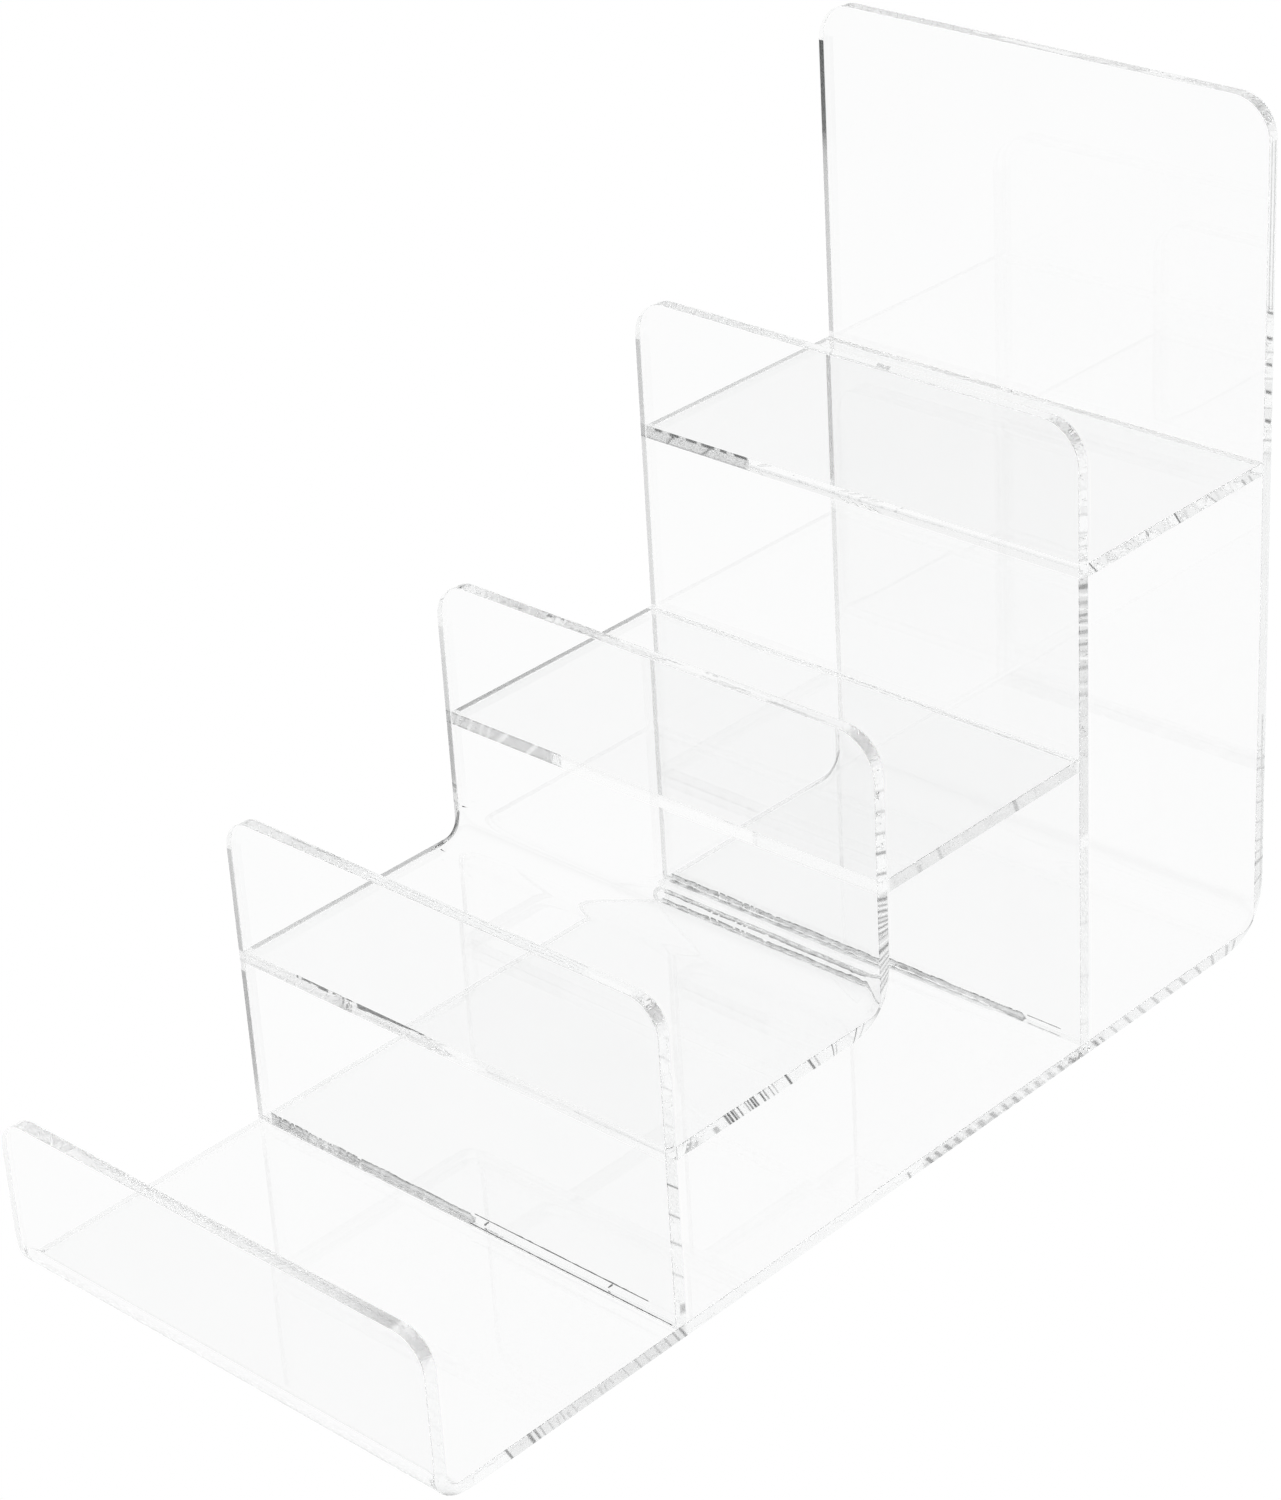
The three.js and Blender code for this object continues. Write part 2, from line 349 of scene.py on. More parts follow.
def joint_masks():
    x, w = np.meshgrid(XC, WC, indexing="ij")
    m = {}
    # under the front riser: cement along the front corner on the right half, dry on the left
    edge = 3.6 + 0.5 * smooth_noise(11, x, 1.6)
    m["seam_front_riser_base"] = (x > edge) & (x < 59.4) & (w > 0.2) & (w < 1.75)
    # low shelf to front riser: filled, with a dry line under the upper corner: a row of bubbles, then a long taper
    taper = np.clip((-6.5 - x) / 19.0, 0, 1)
    thick = np.where(x < -26.6, 0.4 + 0.4 * (smooth_noise(12, x, 1.5) > -0.1), 0.3 + 0.9 * taper) + 0.15 * smooth_noise(18, x, 2.1)
    gaps = (smooth_noise(13, x, 1.3) > 0.5) & (x < -27)
    dry = (x > -44.5) & (x < -6.5) & ~((x > -27.4) & (x < -26.2)) & ~gaps & (w < thick)
    m["seam_step_front_riser"] = (np.abs(x) < 59.6) & ~dry
    # middle shelf to step sheet: dry on the left, with two narrow gaps at the end of the dry stretch
    lean = 0.25 * smooth_noise(14, w * 12, 7.0)
    bars = ((x > -29.6 + lean) & (x < -28.9 + lean)) | ((x > -28.4 + lean) & (x < -27.8 + lean))
    m["seam_mid_shelf_step"] = (x > -27.2 + lean) | (bars & (w > 0.3) & (w < 2.7))
    # middle shelf to tall riser: filled
    m["seam_mid_shelf_tall_riser"] = (w > 0.0) & (np.abs(x) < 59.6)
    # under the tall riser: a thin line along the front corner
    m["seam_tall_riser_base"] = (x > -30) & (x < 59.4) & (w > 0.2) & (w < 0.5 + 0.1 * smooth_noise(15, x, 3.0))
    # high shelf to tall riser: dry on the left, with a rounded end
    edge = -29.6 - 0.9 * np.abs((w - 1.5) / 1.5) ** 3 + 0.15 * smooth_noise(16, w * 14, 7.0)
    m["seam_top_shelf_tall_riser"] = x > edge
    # high shelf to back panel: filled but shy of both faces, with a pitted stretch on the left
    pits = (x < -14) & (smooth_noise(17, x + 3.1 * w, 0.9) > 0.55) & (np.abs(w - 1.5) < 0.9)
    m["seam_top_shelf_back"] = (w > 0.38) & (w < 2.62) & ~pits
    return {k: no_corner_touch(v) for k, v in m.items()}


MASKS = joint_masks()


# ---------------------------------------------------------------------------------------------------------------
# Cut-edge marks
# ---------------------------------------------------------------------------------------------------------------
class Marks:
    """What the cutter left on one edge: chatter marks across the thickness, lines along it, and a general cloudiness.

    ink is how dark a mark is, 0 to 1; a is the position along the edge and w the depth below face A.
    """

    def __init__(self, seed):
        self.rng = np.random.RandomState(seed)
        self.items = []
        self.lines = []
        self.bands = []
        self.gaps = []

    def run(self, a0, a1, gap, ink=(0.2, 0.6), depth=(0.004, 0.014), half=(0.2, 0.5), slant=(-0.35, 0.35), span=(0.5, 1.0)):
        """Marks at uneven distances."""
        r = self.rng
        a = a0 + r.uniform(0.2, 1.0) * gap
        while a < a1:
            length = r.uniform(*span) * T
            w0 = r.choice([0.0, T - length, r.uniform(0, T - length)])
            self.items.append((a, r.uniform(*slant), r.uniform(*half), r.uniform(*depth), r.uniform(*ink), w0, w0 + length))
            a += gap * r.uniform(0.35, 1.75)
        return self

    def ticks(self, rows, slant=0.0, depth=0.012, w0=0.0, w1=T):
        """Single marks, as (position, half width, ink)."""
        for a, half, ink in rows:
            self.items.append((a, slant, half, depth, ink, w0, w1))
        return self

    def line(self, a0, a1, w, half, ink):
        self.lines.append((a0, a1, w, half, ink))
        return self

    def band(self, a0, a1, ink0, ink1):
        self.bands.append((a0, a1, ink0, ink1))
        return self

    def gap(self, rows, slant=0.0, keep=0.15):
        """Clear stripes through the marks, as (position, half width)."""
        for a, half in rows:
            self.gaps.append((a, half, slant, keep))
        return self

    def evaluate(self, a, w):
        """(inward displacement in mm, darkness 0 to 1) at positions a along and w across the edge."""
        disp = np.zeros_like(w)
        ink = np.zeros_like(w)
        for a0, a1, i0, i1 in self.bands:
            near = np.where((a > a0 - 1) & (a < a1 + 1))[0]
            aa = a[near]
            fade = np.clip(aa - a0 + 0.5, 0, 1) * np.clip(a1 - aa + 0.5, 0, 1)
            ink[near] = np.maximum(ink[near], (fade * np.interp(aa, (a0, a1), (i0, i1)))[:, None])
        for a0, a1, at, half, dark in self.lines:
            near = np.where((a > a0) & (a < a1))[0]
            aa = a[near][:, None]
            fade = np.clip((aa - a0) / 0.4, 0, 1) * np.clip((a1 - aa) / 0.4, 0, 1)
            ink[near] = np.maximum(ink[near], dark * fade * np.clip(1.5 * (1 - np.abs(w[near] - at) / half), 0, 1))
        for at, slant, half, depth, dark, w0, w1 in self.items:
            near = np.where(np.abs(a - at) < 3 * half + abs(slant) * T + 0.3)[0]
            if near.size == 0:
                continue
            aa = a[near][:, None]
            ww = w[near]
            u = np.abs(aa - at - slant * (ww - T / 2)) / half
            win = np.clip((ww - w0) / 0.25 + 1, 0, 1) * np.clip((w1 - ww) / 0.25 + 1, 0, 1)
            v = np.clip(1 - u, 0, 1)
            disp[near] = np.maximum(disp[near], depth * v * win)
            ink[near] = np.maximum(ink[near], dark * np.clip(1.6 * v, 0, 1) * win)
        for at, half, slant, keep in self.gaps:
            near = np.where(np.abs(a - at) < 3 * half + abs(slant) * T + 0.3)[0]
            u = np.abs(a[near][:, None] - at - slant * (w[near] - T / 2)) / half
            ink[near] *= 1 - (1 - keep) * np.clip(2 * (1 - u), 0, 1)
        return disp, 1 - (1 - np.clip(ink, 0, 1)) ** 1.6


# ---------------------------------------------------------------------------------------------------------------
# Sheet builder
# ---------------------------------------------------------------------------------------------------------------
def build_sheet(name, profile, corner0, corner1, joint0, joint1, patches, marks, loss, seed, relief=None, painted_shade_rim=()):
    """A sheet as one closed mesh.

    corner0, corner1: corner radius at the two ends of the run (0 where the end is a joint)
    joint0, joint1:   the seam's name if that end is cemented to a neighbour, else None
    patches:          [(face "A" or "B", s of the row w = 0, +1 or -1 for the way w runs along s, seam name)]
    marks:            {"end0" | "right" | "end1" | "left": Marks}
    loss:             {edge: function of (position, depth, darkness) giving how much trapped light the cut loses}
    relief:           function of (position, depth) giving the saw grooves of a dry joint at end 0, in mm
    rim:              stretches [(s, darkness), ...] of face A along its left side painted grey: painted shade for the dark left cut seen through the face
    """
    s0, s1 = 0.0, profile.length
    pts = []  # x, s, nx, ns, edge, position, joint, arris

    def add(x, s, nx, ns, edge, pos, joint=False, arris=ARRIS):
        pts.append((x, s, nx, ns, edge, pos, joint, arris))

    def steps(a, b, gap=STEP_ALONG):
        n = max(1, int(round(abs(b - a) / gap)))
        return np.linspace(a, b, n + 1)

    columns = np.concatenate([[-HALF], JOINT_X, [HALF]])
    # end 0, left to right
    if joint0:
        for x in columns[:-1]:
            add(x, s0, 0, -1, "end0", x, True, 0.0)
        add(HALF, s0, 0, -1, "end0", HALF, True, 0.0)
    else:
        for x in steps(-HALF + corner0, HALF - corner0):
            add(x, s0, 0, -1, "end0", x)
        for t in steps(0, corner0 * math.pi / 2)[1:-1]:
            q = t / corner0
            add(HALF - corner0 + corner0 * math.sin(q), s0 + corner0 - corner0 * math.cos(q), math.sin(q), -math.cos(q), "end0", HALF - corner0 + t)
    # the run of the two sides, with the same points at the bends
    lo, hi = s0 + corner0, s1 - corner1

    def side(gap):
        run = steps(lo, hi, gap)
        for b0, b1 in profile.bends:
            run = run[(run < b0 - 0.05) | (run > b1 + 0.05)]
        run = np.sort(np.concatenate([run, profile.knots]))
        run = run[(run > lo + 0.02) & (run < hi - 0.02)]
        return np.concatenate([[lo] if not joint0 else [], run, [hi] if not joint1 else []])

    def arris_at(s):
        k = 1.0
        if joint0:
            k = min(k, max(0.0, (s - s0) / 1.0))
        if joint1:
            k = min(k, max(0.0, (s1 - s) / 1.0))
        return ARRIS * k

    for s in side(STEP_RIGHT):
        add(HALF, s, 1, 0, "right", s, False, arris_at(s))
    # end 1, right to left
    if joint1:
        for x in columns[::-1]:
            add(x, s1, 0, 1, "end1", x, True, 0.0)
    else:
        for t in steps(0, corner1 * math.pi / 2)[1:-1]:
            q = t / corner1
            add(HALF - corner1 + corner1 * math.cos(q), s1 - corner1 + corner1 * math.sin(q), math.cos(q), math.sin(q), "end1", HALF - corner1 + corner1 * math.pi / 2 - t)
        for x in steps(HALF - corner1, -HALF + corner1):
            add(x, s1, 0, 1, "end1", x)
        for t in steps(0, corner1 * math.pi / 2)[1:-1]:
            q = t / corner1
            add(-HALF + corner1 - corner1 * math.sin(q), s1 - corner1 + corner1 * math.cos(q), -math.sin(q), math.cos(q), "end1", -HALF + corner1 - t)
    for s in side(STEP_LEFT)[::-1]:
        add(-HALF, s, -1, 0, "left", s, False, arris_at(s))
    if not joint0:
        for t in steps(0, corner0 * math.pi / 2)[1:-1]:
            q = t / corner0
            add(-HALF + corner0 - corner0 * math.cos(q), s0 + corner0 - corner0 * math.sin(q), -math.cos(q), -math.sin(q), "end0", -HALF + corner0 - corner0 * math.pi / 2 + t)

    px = np.array([p[0] for p in pts])
    ps = np.array([p[1] for p in pts])
    nx = np.array([p[2] for p in pts], float)
    ns = np.array([p[3] for p in pts], float)
    edge = np.array([p[4] for p in pts])
    pos = np.array([p[5] for p in pts], float)
    isj = np.array([p[6] for p in pts])
    ra = np.array([p[7] for p in pts], float)
    n = len(pts)
    rows = ROWS + 1

    # rows across the cut edge: a broken corner, the cut, a broken corner
    o = np.zeros((n, rows))
    w = np.zeros((n, rows))
    for k in range(4):
        q = math.radians(30 * k)
        o[:, k] = -ra * (1 - math.sin(q))
        w[:, k] = ra * (1 - math.cos(q))
        o[:, ROWS - k] = o[:, k]
        w[:, ROWS - k] = T - w[:, k]
    for k in range(4, ROWS - 3):
        f = (k - 3) / (ROWS - 6)
        w[:, k] = ra + (T - 2 * ra) * f
    o[isj] = 0.0
    w[isj] = JOINT_W[None, :]

    disp = np.zeros((n, rows))
    marks_and_painted_shade = np.zeros((n, rows))
    tir = np.zeros((n, rows))
    rng = np.random.RandomState(seed)
    for e in ("end0", "right", "end1", "left"):
        i = np.where(edge == e)[0]
        p1, p2, p3 = rng.uniform(0, 6.28, 3)
        a = pos[i][:, None] + 0.25 * w[i]
        wave = 0.008 * (1 + np.sin(a * 6.283 / 4.6 + p1)) + 0.002 * (1 + np.sin(a * 6.283 / 1.9 + p2)) + 0.0006 * (1 + np.sin(a * 6.283 / 0.93 + p3 + 0.8 * w[i]))
        if e == "left":
            wave = 0.1 * wave
        if e in marks:
            d, t = marks[e].evaluate(pos[i], w[i])
        else:
            d, t = np.zeros((len(i), rows)), np.zeros((len(i), rows))
        disp[i] = wave + d
        marks_and_painted_shade[i] = t
        if e in loss:
            tir[i] = np.broadcast_to(loss[e](pos[i][:, None], w[i], t), (len(i), rows))
    # at a bend the stretched outer side draws in a little
    bend = profile.bend_weight(ps)
    sides = (edge == "right") | (edge == "left")
    disp += np.where(sides, 0.5 * bend, 0.0)[:, None] * (w / T) ** 2
    # near a joint the sides run out to the plain corner
    if joint0:
        disp *= np.where(sides, np.clip((ps - s0) / 1.5, 0, 1), 1.0)[:, None]
    if joint1:
        disp *= np.where(sides, np.clip((s1 - ps) / 1.5, 0, 1), 1.0)[:, None]

    # in a joint, the cut is untouched where the cement is, and keeps its marks where it stayed dry
    for e, seam in (("end0", joint0), ("end1", joint1)):
        if not seam:
            continue
        i = np.where(edge == e)[0]
        order = i[np.argsort(px[i])]
        wet = MASKS[seam]
        full = np.zeros((len(order) - 1, ROWS), bool)
        full[1:-1] = wet
        any_wet = np.zeros((len(order), rows), bool)
        for da in (0, 1):
            for db in (0, 1):
                any_wet[da:len(order) - 1 + da, db:ROWS + db] |= full
        dry = ~any_wet
        dry[0] = dry[-1] = False
        dry[:, 0] = dry[:, -1] = False
        if relief is not None and e == "end0":
            disp[order] += relief(pos[order][:, None], w[order])
        disp[order] *= dry
        marks_and_painted_shade[order] *= ~any_wet

    # painted shade: along the rim stretches, the left cut's first row and a strip of face A get a grey tone standing
    # for the dark left cut seen through the face
    painted_shade_rims = []
    for stretch in painted_shade_rim:
        i = np.where((edge == "left") & (ps > stretch[0][0]) & (ps < stretch[-1][0]))[0]
        i = i[np.argsort(ps[i])]
        dark = np.interp(ps[i], *zip(*stretch))
        marks_and_painted_shade[i, 0] = dark
        painted_shade_rims.append((i, dark, ps[i[0]], ps[i[-1]]))

    vx = px[:, None] + nx[:, None] * (o - disp)
    vs = ps[:, None] + ns[:, None] * (o - disp)
    co = profile.at(vx, vs, w)
    verts = [co.reshape(-1, 3)]
    vert_marks_and_painted_shade = [marks_and_painted_shade.reshape(-1)]
    vloss = [tir.reshape(-1)]
    sgn = np.where(edge == "left", -1.0, 1.0)
    rough = np.where(edge == "left", 0.0, 1.0)[:, None]
    valong = [np.stack([np.broadcast_to(rough * pos[:, None] * 0.12, (n, rows)).reshape(-1), (rough * w * 3.6).reshape(-1), np.broadcast_to((sgn * 7.3 + 3.1 * (edge == "end1") + 5.7 * (edge == "end0"))[:, None], (n, rows)).reshape(-1)], -1)]
    faces = []
    mats = []

    idx = np.arange(n * rows).reshape(n, rows)
    nxt = np.roll(idx, -1, axis=0)
    quads = np.stack([idx[:, :-1], nxt[:, :-1], nxt[:, 1:], idx[:, 1:]], -1)  # n, ROWS, 4
    qmat = np.full((n, ROWS), MAT_EDGE)
    for e, seam in (("end0", joint0), ("end1", joint1)):
        if not seam:
            continue
        wet = MASKS[seam]
        i = np.where(edge == e)[0]
        order = i[np.argsort(px[i])]
        for c in range(len(order) - 1):
            if c == 0 or c == len(order) - 2:
                continue
            col = order[c] if e == "end0" else order[c + 1]
            qmat[col, wet[c - 1]] = MAT_BOND
    faces += quads.reshape(-1, 4).tolist()
    mats += qmat.reshape(-1).tolist()

    count = n * rows
    sharp = [(idx[i, 0], idx[(i + 1) % n, 0]) for i in range(n)] + [(idx[i, ROWS], idx[(i + 1) % n, ROWS]) for i in range(n)]
    for e, seam in (("end0", joint0), ("end1", joint1)):
        if seam:
            i = np.where(edge == e)[0]
            for c in (i[np.argmin(px[i])], i[np.argmax(px[i])]):
                sharp += [(idx[c, j], idx[c, j + 1]) for j in range(ROWS)]

    # the two faces
    for side_name, row, depth in (("A", 0, 0.0), ("B", ROWS, T)):
        loop = idx[:, row]
        pts2 = [Vector((float(vx[i, row]), float(vs[i, row]))) for i in range(n)]
        ids = list(loop)
        edges2 = [(i, (i + 1) % n) for i in range(n)]
        right = {round(float(ps[i]), 6): i for i in range(n) if edge[i] == "right"}
        left = {round(float(ps[i]), 6): i for i in range(n) if edge[i] == "left"}
        ends = {round(float(v), 6) for pair in profile.bends for v in pair}
        knot_rows = {}
        for s in profile.knots:
            k = round(float(s), 6)
            if k in right and k in left:
                row_co = profile.at(BEND_X, np.full_like(BEND_X, s), np.full_like(BEND_X, depth))
                verts.append(row_co)
                vert_marks_and_painted_shade.append(np.zeros(len(BEND_X)))
                vloss.append(np.zeros(len(BEND_X)))
                valong.append(np.zeros((len(BEND_X), 3)))
                chain = [left[k]]
                for j, x in enumerate(BEND_X):
                    chain.append(len(pts2))
                    pts2.append(Vector((float(x), float(s))))
                    ids.append(count + j)
                count += len(BEND_X)
                chain.append(right[k])
                knot_rows[k] = chain
                edges2 += list(zip(chain[:-1], chain[1:]))
                if k in ends:
                    sharp += [(ids[p], ids[q]) for p, q in zip(chain[:-1], chain[1:])]
        # face A's painted shade strip: a row of points at PAINTED_SHADE_RIM_X carrying the painted grey tone
        for i, dark, _, _ in painted_shade_rims if side_name == "A" else []:
            x = np.full(len(i), PAINTED_SHADE_RIM_X)
            verts.append(profile.at(x, ps[i], np.zeros(len(i))))
            vert_marks_and_painted_shade.append(dark)
            vloss.append(np.zeros(len(i)))
            valong.append(np.zeros((len(i), 3)))
            first = len(pts2)
            pts2 += [Vector((PAINTED_SHADE_RIM_X, float(v))) for v in ps[i]]
            ids += list(range(count, count + len(i)))
            chain = [int(i[0])] + list(range(first, first + len(i))) + [int(i[-1])]
            edges2 += list(zip(chain[:-1], chain[1:]))
            near = int(np.argmax(BEND_X > PAINTED_SHADE_RIM_X))
            for j, v in enumerate(i):
                k = round(float(ps[v]), 6)
                if k in ends:
                    row = knot_rows[k]
                    sharp += [(ids[row[near]], count + j), (count + j, ids[row[near + 1]])]
            count += len(i)
        holes = []
        for pf, ps0, way, seam in patches:
            if pf != side_name:
                continue
            srow = ps0 + way * JOINT_W
            gx, gs = np.meshgrid(JOINT_X, srow, indexing="ij")
            gco = profile.at(gx, gs, np.full_like(gx, depth))
            base = count
            verts.append(gco.reshape(-1, 3))
            vert_marks_and_painted_shade.append(np.zeros(gx.size))
            vloss.append(np.zeros(gx.size))
            valong.append(np.zeros((gx.size, 3)))
            count += gx.size
            gid = base + np.arange(gx.size).reshape(gx.shape)
            q = np.stack([gid[:-1, :-1], gid[1:, :-1], gid[1:, 1:], gid[:-1, 1:]], -1)
            faces += q.reshape(-1, 4).tolist()
            mats += np.where(MASKS[seam], MAT_BOND, MAT_FACE).reshape(-1).tolist()
            ring = [(i, 0) for i in range(len(JOINT_X))] + [(len(JOINT_X) - 1, j) for j in range(1, rows)]
            ring += [(i, rows - 1) for i in range(len(JOINT_X) - 2, -1, -1)] + [(0, j) for j in range(rows - 2, 0, -1)]
            start = len(pts2)
            for i, j in ring:
                pts2.append(Vector((float(gx[i, j]), float(gs[i, j]))))
                ids.append(int(gid[i, j]))
            m = len(ring)
            edges2 += [(start + k, start + (k + 1) % m) for k in range(m)]
            holes.append((JOINT_X[0], JOINT_X[-1], srow.min(), srow.max()))
        v2, _, f2, ov, _, _ = delaunay_2d_cdt(pts2, edges2, [list(range(n))], 1, 1e-7)
        back = []
        for k, src in enumerate(ov):
            if src:
                back.append(ids[src[0]])
            else:
                p = profile.at(np.array([v2[k].x]), np.array([v2[k].y]), np.array([depth]))
                verts.append(p)
                vert_marks_and_painted_shade.append(np.zeros(1))
                vloss.append(np.zeros(1))
                valong.append(np.zeros((1, 3)))
                back.append(count)
                count += 1
        for tri in f2:
            cx = sum(v2[k].x for k in tri) / 3
            cs = sum(v2[k].y for k in tri) / 3
            if any(h[0] < cx < h[1] and h[2] < cs < h[3] for h in holes):
                continue
            faces.append([back[k] for k in tri])
            # triangles left of PAINTED_SHADE_RIM_X on a rim stretch take the cut-edge material, whose tone paints the
            # shade grey
            on_painted_shade_rim = side_name == "A" and cx < PAINTED_SHADE_RIM_X and any(a < cs < b for _, _, a, b in painted_shade_rims)
            mats.append(MAT_EDGE if on_painted_shade_rim else MAT_FACE)

    allv = np.concatenate(verts) * 0.001
    return finish_mesh(name, allv, faces, mats, [FACE, EDGE, BOND], sharp, np.concatenate(vert_marks_and_painted_shade), np.concatenate(vloss), np.concatenate(valong))


def finish_mesh(name, verts, faces, mats, materials, sharp, marks_and_painted_shade=None, loss=None, along=None):
    import bmesh

    mesh = bpy.data.meshes.new(name)
    mesh.from_pydata(verts.tolist(), [], faces)
    mesh.update(calc_edges=True)
    for m in materials:
        mesh.materials.append(m)
    mesh.polygons.foreach_set("material_index", np.array(mats, np.int32))
    for attr, data, kind in (("marks_and_painted_shade", marks_and_painted_shade, "FLOAT"), ("loss", loss, "FLOAT")):
        if data is not None:
            layer = mesh.attributes.new(attr, kind, "POINT")
            layer.data.foreach_set("value", np.asarray(data, np.float32))
    if along is not None:
        layer = mesh.attributes.new("along", "FLOAT_VECTOR", "POINT")
        layer.data.foreach_set("vector", np.asarray(along, np.float32).reshape(-1))
    bm = bmesh.new()
    bm.from_mesh(mesh)
    bmesh.ops.recalc_face_normals(bm, faces=bm.faces[:])
    bm.faces.ensure_lookup_table()
    seen = np.zeros(len(bm.faces), bool)
    inward = []
    for first in bm.faces:
        if seen[first.index]:
            continue
        seen[first.index] = True
        body, volume = [first], 0.0
        for face in body:
            v = [q.co for q in face.verts]
            volume += sum(v[0].dot(v[k].cross(v[k + 1])) for k in range(1, len(v) - 1))
            for e in face.edges:
                for other in e.link_faces:
                    if not seen[other.index]:
                        seen[other.index] = True
                        body.append(other)
        if volume < 0:
            inward += body
    bmesh.ops.reverse_faces(bm, faces=inward)
    open_edges = sum(1 for e in bm.edges if len(e.link_faces) != 2)
    print("sheet", name, "verts", len(bm.verts), "faces", len(bm.faces), "edges not shared by two faces", open_edges, "volume mm3", round(bm.calc_volume() * 1e9, 1))
    bm.to_mesh(mesh)
    bm.free()
    mesh.update()
    ev = np.zeros(len(mesh.edges) * 2, np.int64)
    mesh.edges.foreach_get("vertices", ev)
    ev = ev.reshape(-1, 2)
    nv = len(mesh.vertices)
    key = ev.min(1) * nv + ev.max(1)
    smooth = np.ones(len(mesh.polygons), bool)
    mesh.polygons.foreach_set("use_smooth", smooth)
    if len(sharp):
        sh = np.array(sharp, np.int64)
        flag = np.isin(key, sh.min(1) * nv + sh.max(1))
        layer = mesh.attributes.get("sharp_edge") or mesh.attributes.new("sharp_edge", "BOOLEAN", "EDGE")
        layer.data.foreach_set("value", flag)
    mesh.update()
    obj = bpy.data.objects.new(name, mesh)
    bpy.context.scene.collection.objects.link(obj)
    return obj


def build_film(name, seam, place, extras=()):
    """A cured cement seam: the filled cells of its joint, a film thick. place(x, w, d) gives a point, d across the film.

    extras: beads and threads of cement that ran out of the joint, see bead() and thread().
    """
    mask = MASKS[seam]
    kx, kw = mask.shape
    eps = 0.002
    gx, gw = np.meshgrid(JOINT_X, JOINT_W, indexing="ij")
    lo = place(gx, gw, np.full_like(gx, eps))
    hi = place(gx, gw, np.full_like(gx, FILM - eps))
    nid = (kx + 1) * (kw + 1)
    verts = np.concatenate([lo.reshape(-1, 3), hi.reshape(-1, 3)])
    gid = np.arange(nid).reshape(kx + 1, kw + 1)
    faces, mats, sharp = [], [], []
    for i in range(kx):
        for j in range(kw):
            if not mask[i, j]:
                continue
            a, b, c, d = gid[i, j], gid[i + 1, j], gid[i + 1, j + 1], gid[i, j + 1]
            faces.append([a, d, c, b])
            mats.append(0)
            faces.append([a + nid, b + nid, c + nid, d + nid])
            mats.append(0)
            for p, q, ni, nj in ((a, b, i, j - 1), (b, c, i + 1, j), (c, d, i, j + 1), (d, a, i - 1, j)):
                if ni < 0 or nj < 0 or ni >= kx or nj >= kw or not mask[ni, nj]:
                    faces.append([p, q, q + nid, p + nid])
                    mats.append(1)
                    sharp += [(p, q), (p + nid, q + nid)]
    used = np.unique(np.array([k for f in faces for k in f]))
    remap = -np.ones(2 * nid, np.int64)
    remap[used] = np.arange(len(used))
    faces = [[int(remap[k]) for k in f] for f in faces]
    sharp = [(int(remap[a]), int(remap[b])) for a, b in sharp]
    verts = verts[used]
    marks_and_painted_shade = np.zeros(len(verts))
    for ring, tone, creases in extras:
        m, k = ring.shape[:2]
        fid = len(verts) + np.arange(m * k).reshape(m, k)
        verts = np.concatenate([verts, ring.reshape(-1, 3)])
        marks_and_painted_shade = np.concatenate([marks_and_painted_shade, tone.reshape(-1)])
        for i in range(m - 1):
            for j in range(k):
                faces.append([int(fid[i, j]), int(fid[i + 1, j]), int(fid[i + 1, (j + 1) % k]), int(fid[i, (j + 1) % k])])
                mats.append(1)
            sharp += [(int(fid[i, j]), int(fid[i + 1, j])) for j in creases]
        faces.append([int(v) for v in fid[0]])
        faces.append([int(v) for v in fid[-1][::-1]])
        mats += [1, 1]
        for end in (0, -1):
            sharp += [(int(fid[end, j]), int(fid[end, (j + 1) % k])) for j in range(k)]
    return finish_mesh(name, verts * 0.001, faces, mats, [BOND, CEMENT], sharp, marks_and_painted_shade)


def bead(x0, x1, y, z, way, height, reach, seed, tone, uneven=0.0, taper=1.2):
    """A hollow bead of cement in the corner between an upright's face (at y) and the floor sheet (at z).

    way: +1 for a bead behind the upright, -1 for one in front of it. tone(x, q): how cloudy it is at x, q from 0 at
    its upper line to 1 at its lower line. uneven: how much the bead is filled up in short strokes, 0 to 1. taper: over
    what length the ends run out, 0 for ends that are broken off.
    """
    xs = np.arange(x0, x1 + 0.01, 0.2)
    r = 1 + 0.08 * smooth_noise(seed, xs, 2.7) + 0.04 * smooth_noise(seed + 1, xs, 0.9)
    if taper:
        r = r * np.clip(np.minimum(xs - x0, x1 - xs) / taper + 0.2, 0.2, 1)
    q = np.linspace(0, 1, 13)
    ang = q * math.pi / 2
    eps = 0.004
    full = np.clip(uneven * (smooth_noise(seed + 5, xs, 1.15) + 0.6 * smooth_noise(seed + 6, xs, 0.6)), 0, 0.9)[:, None]
    hollow_p, hollow_h = (1 - np.cos(ang))[None, :], (1 - np.sin(ang))[None, :]
    p = np.concatenate([np.zeros((len(xs), 1)), reach * r[:, None] * (hollow_p * (1 - full) + q[None, :] * full)], 1) + eps
    h = np.concatenate([np.zeros((len(xs), 1)), height * r[:, None] * (hollow_h * (1 - full) + (1 - q)[None, :] * full)], 1) + eps
    p[:, 1] += 0.012
    h[:, -1] += 0.012
    cloud = np.concatenate([np.zeros((len(xs), 1)), tone(xs[:, None], q[None, :])], 1)
    ring = np.stack(np.broadcast_arrays(xs[:, None], y + way * p + Y_LIP, z + h), -1)
    return ring, cloud, (0, 1, 13)


def short_beads(stretches, y, z, way, height, reach, seed, tone, uneven):
    """A bead that broke up into short ones while it set, with a clear slit between each two."""
    return [bead(a, b, y, z, way, height, reach, seed, tone, uneven, 0) for a, b in stretches]


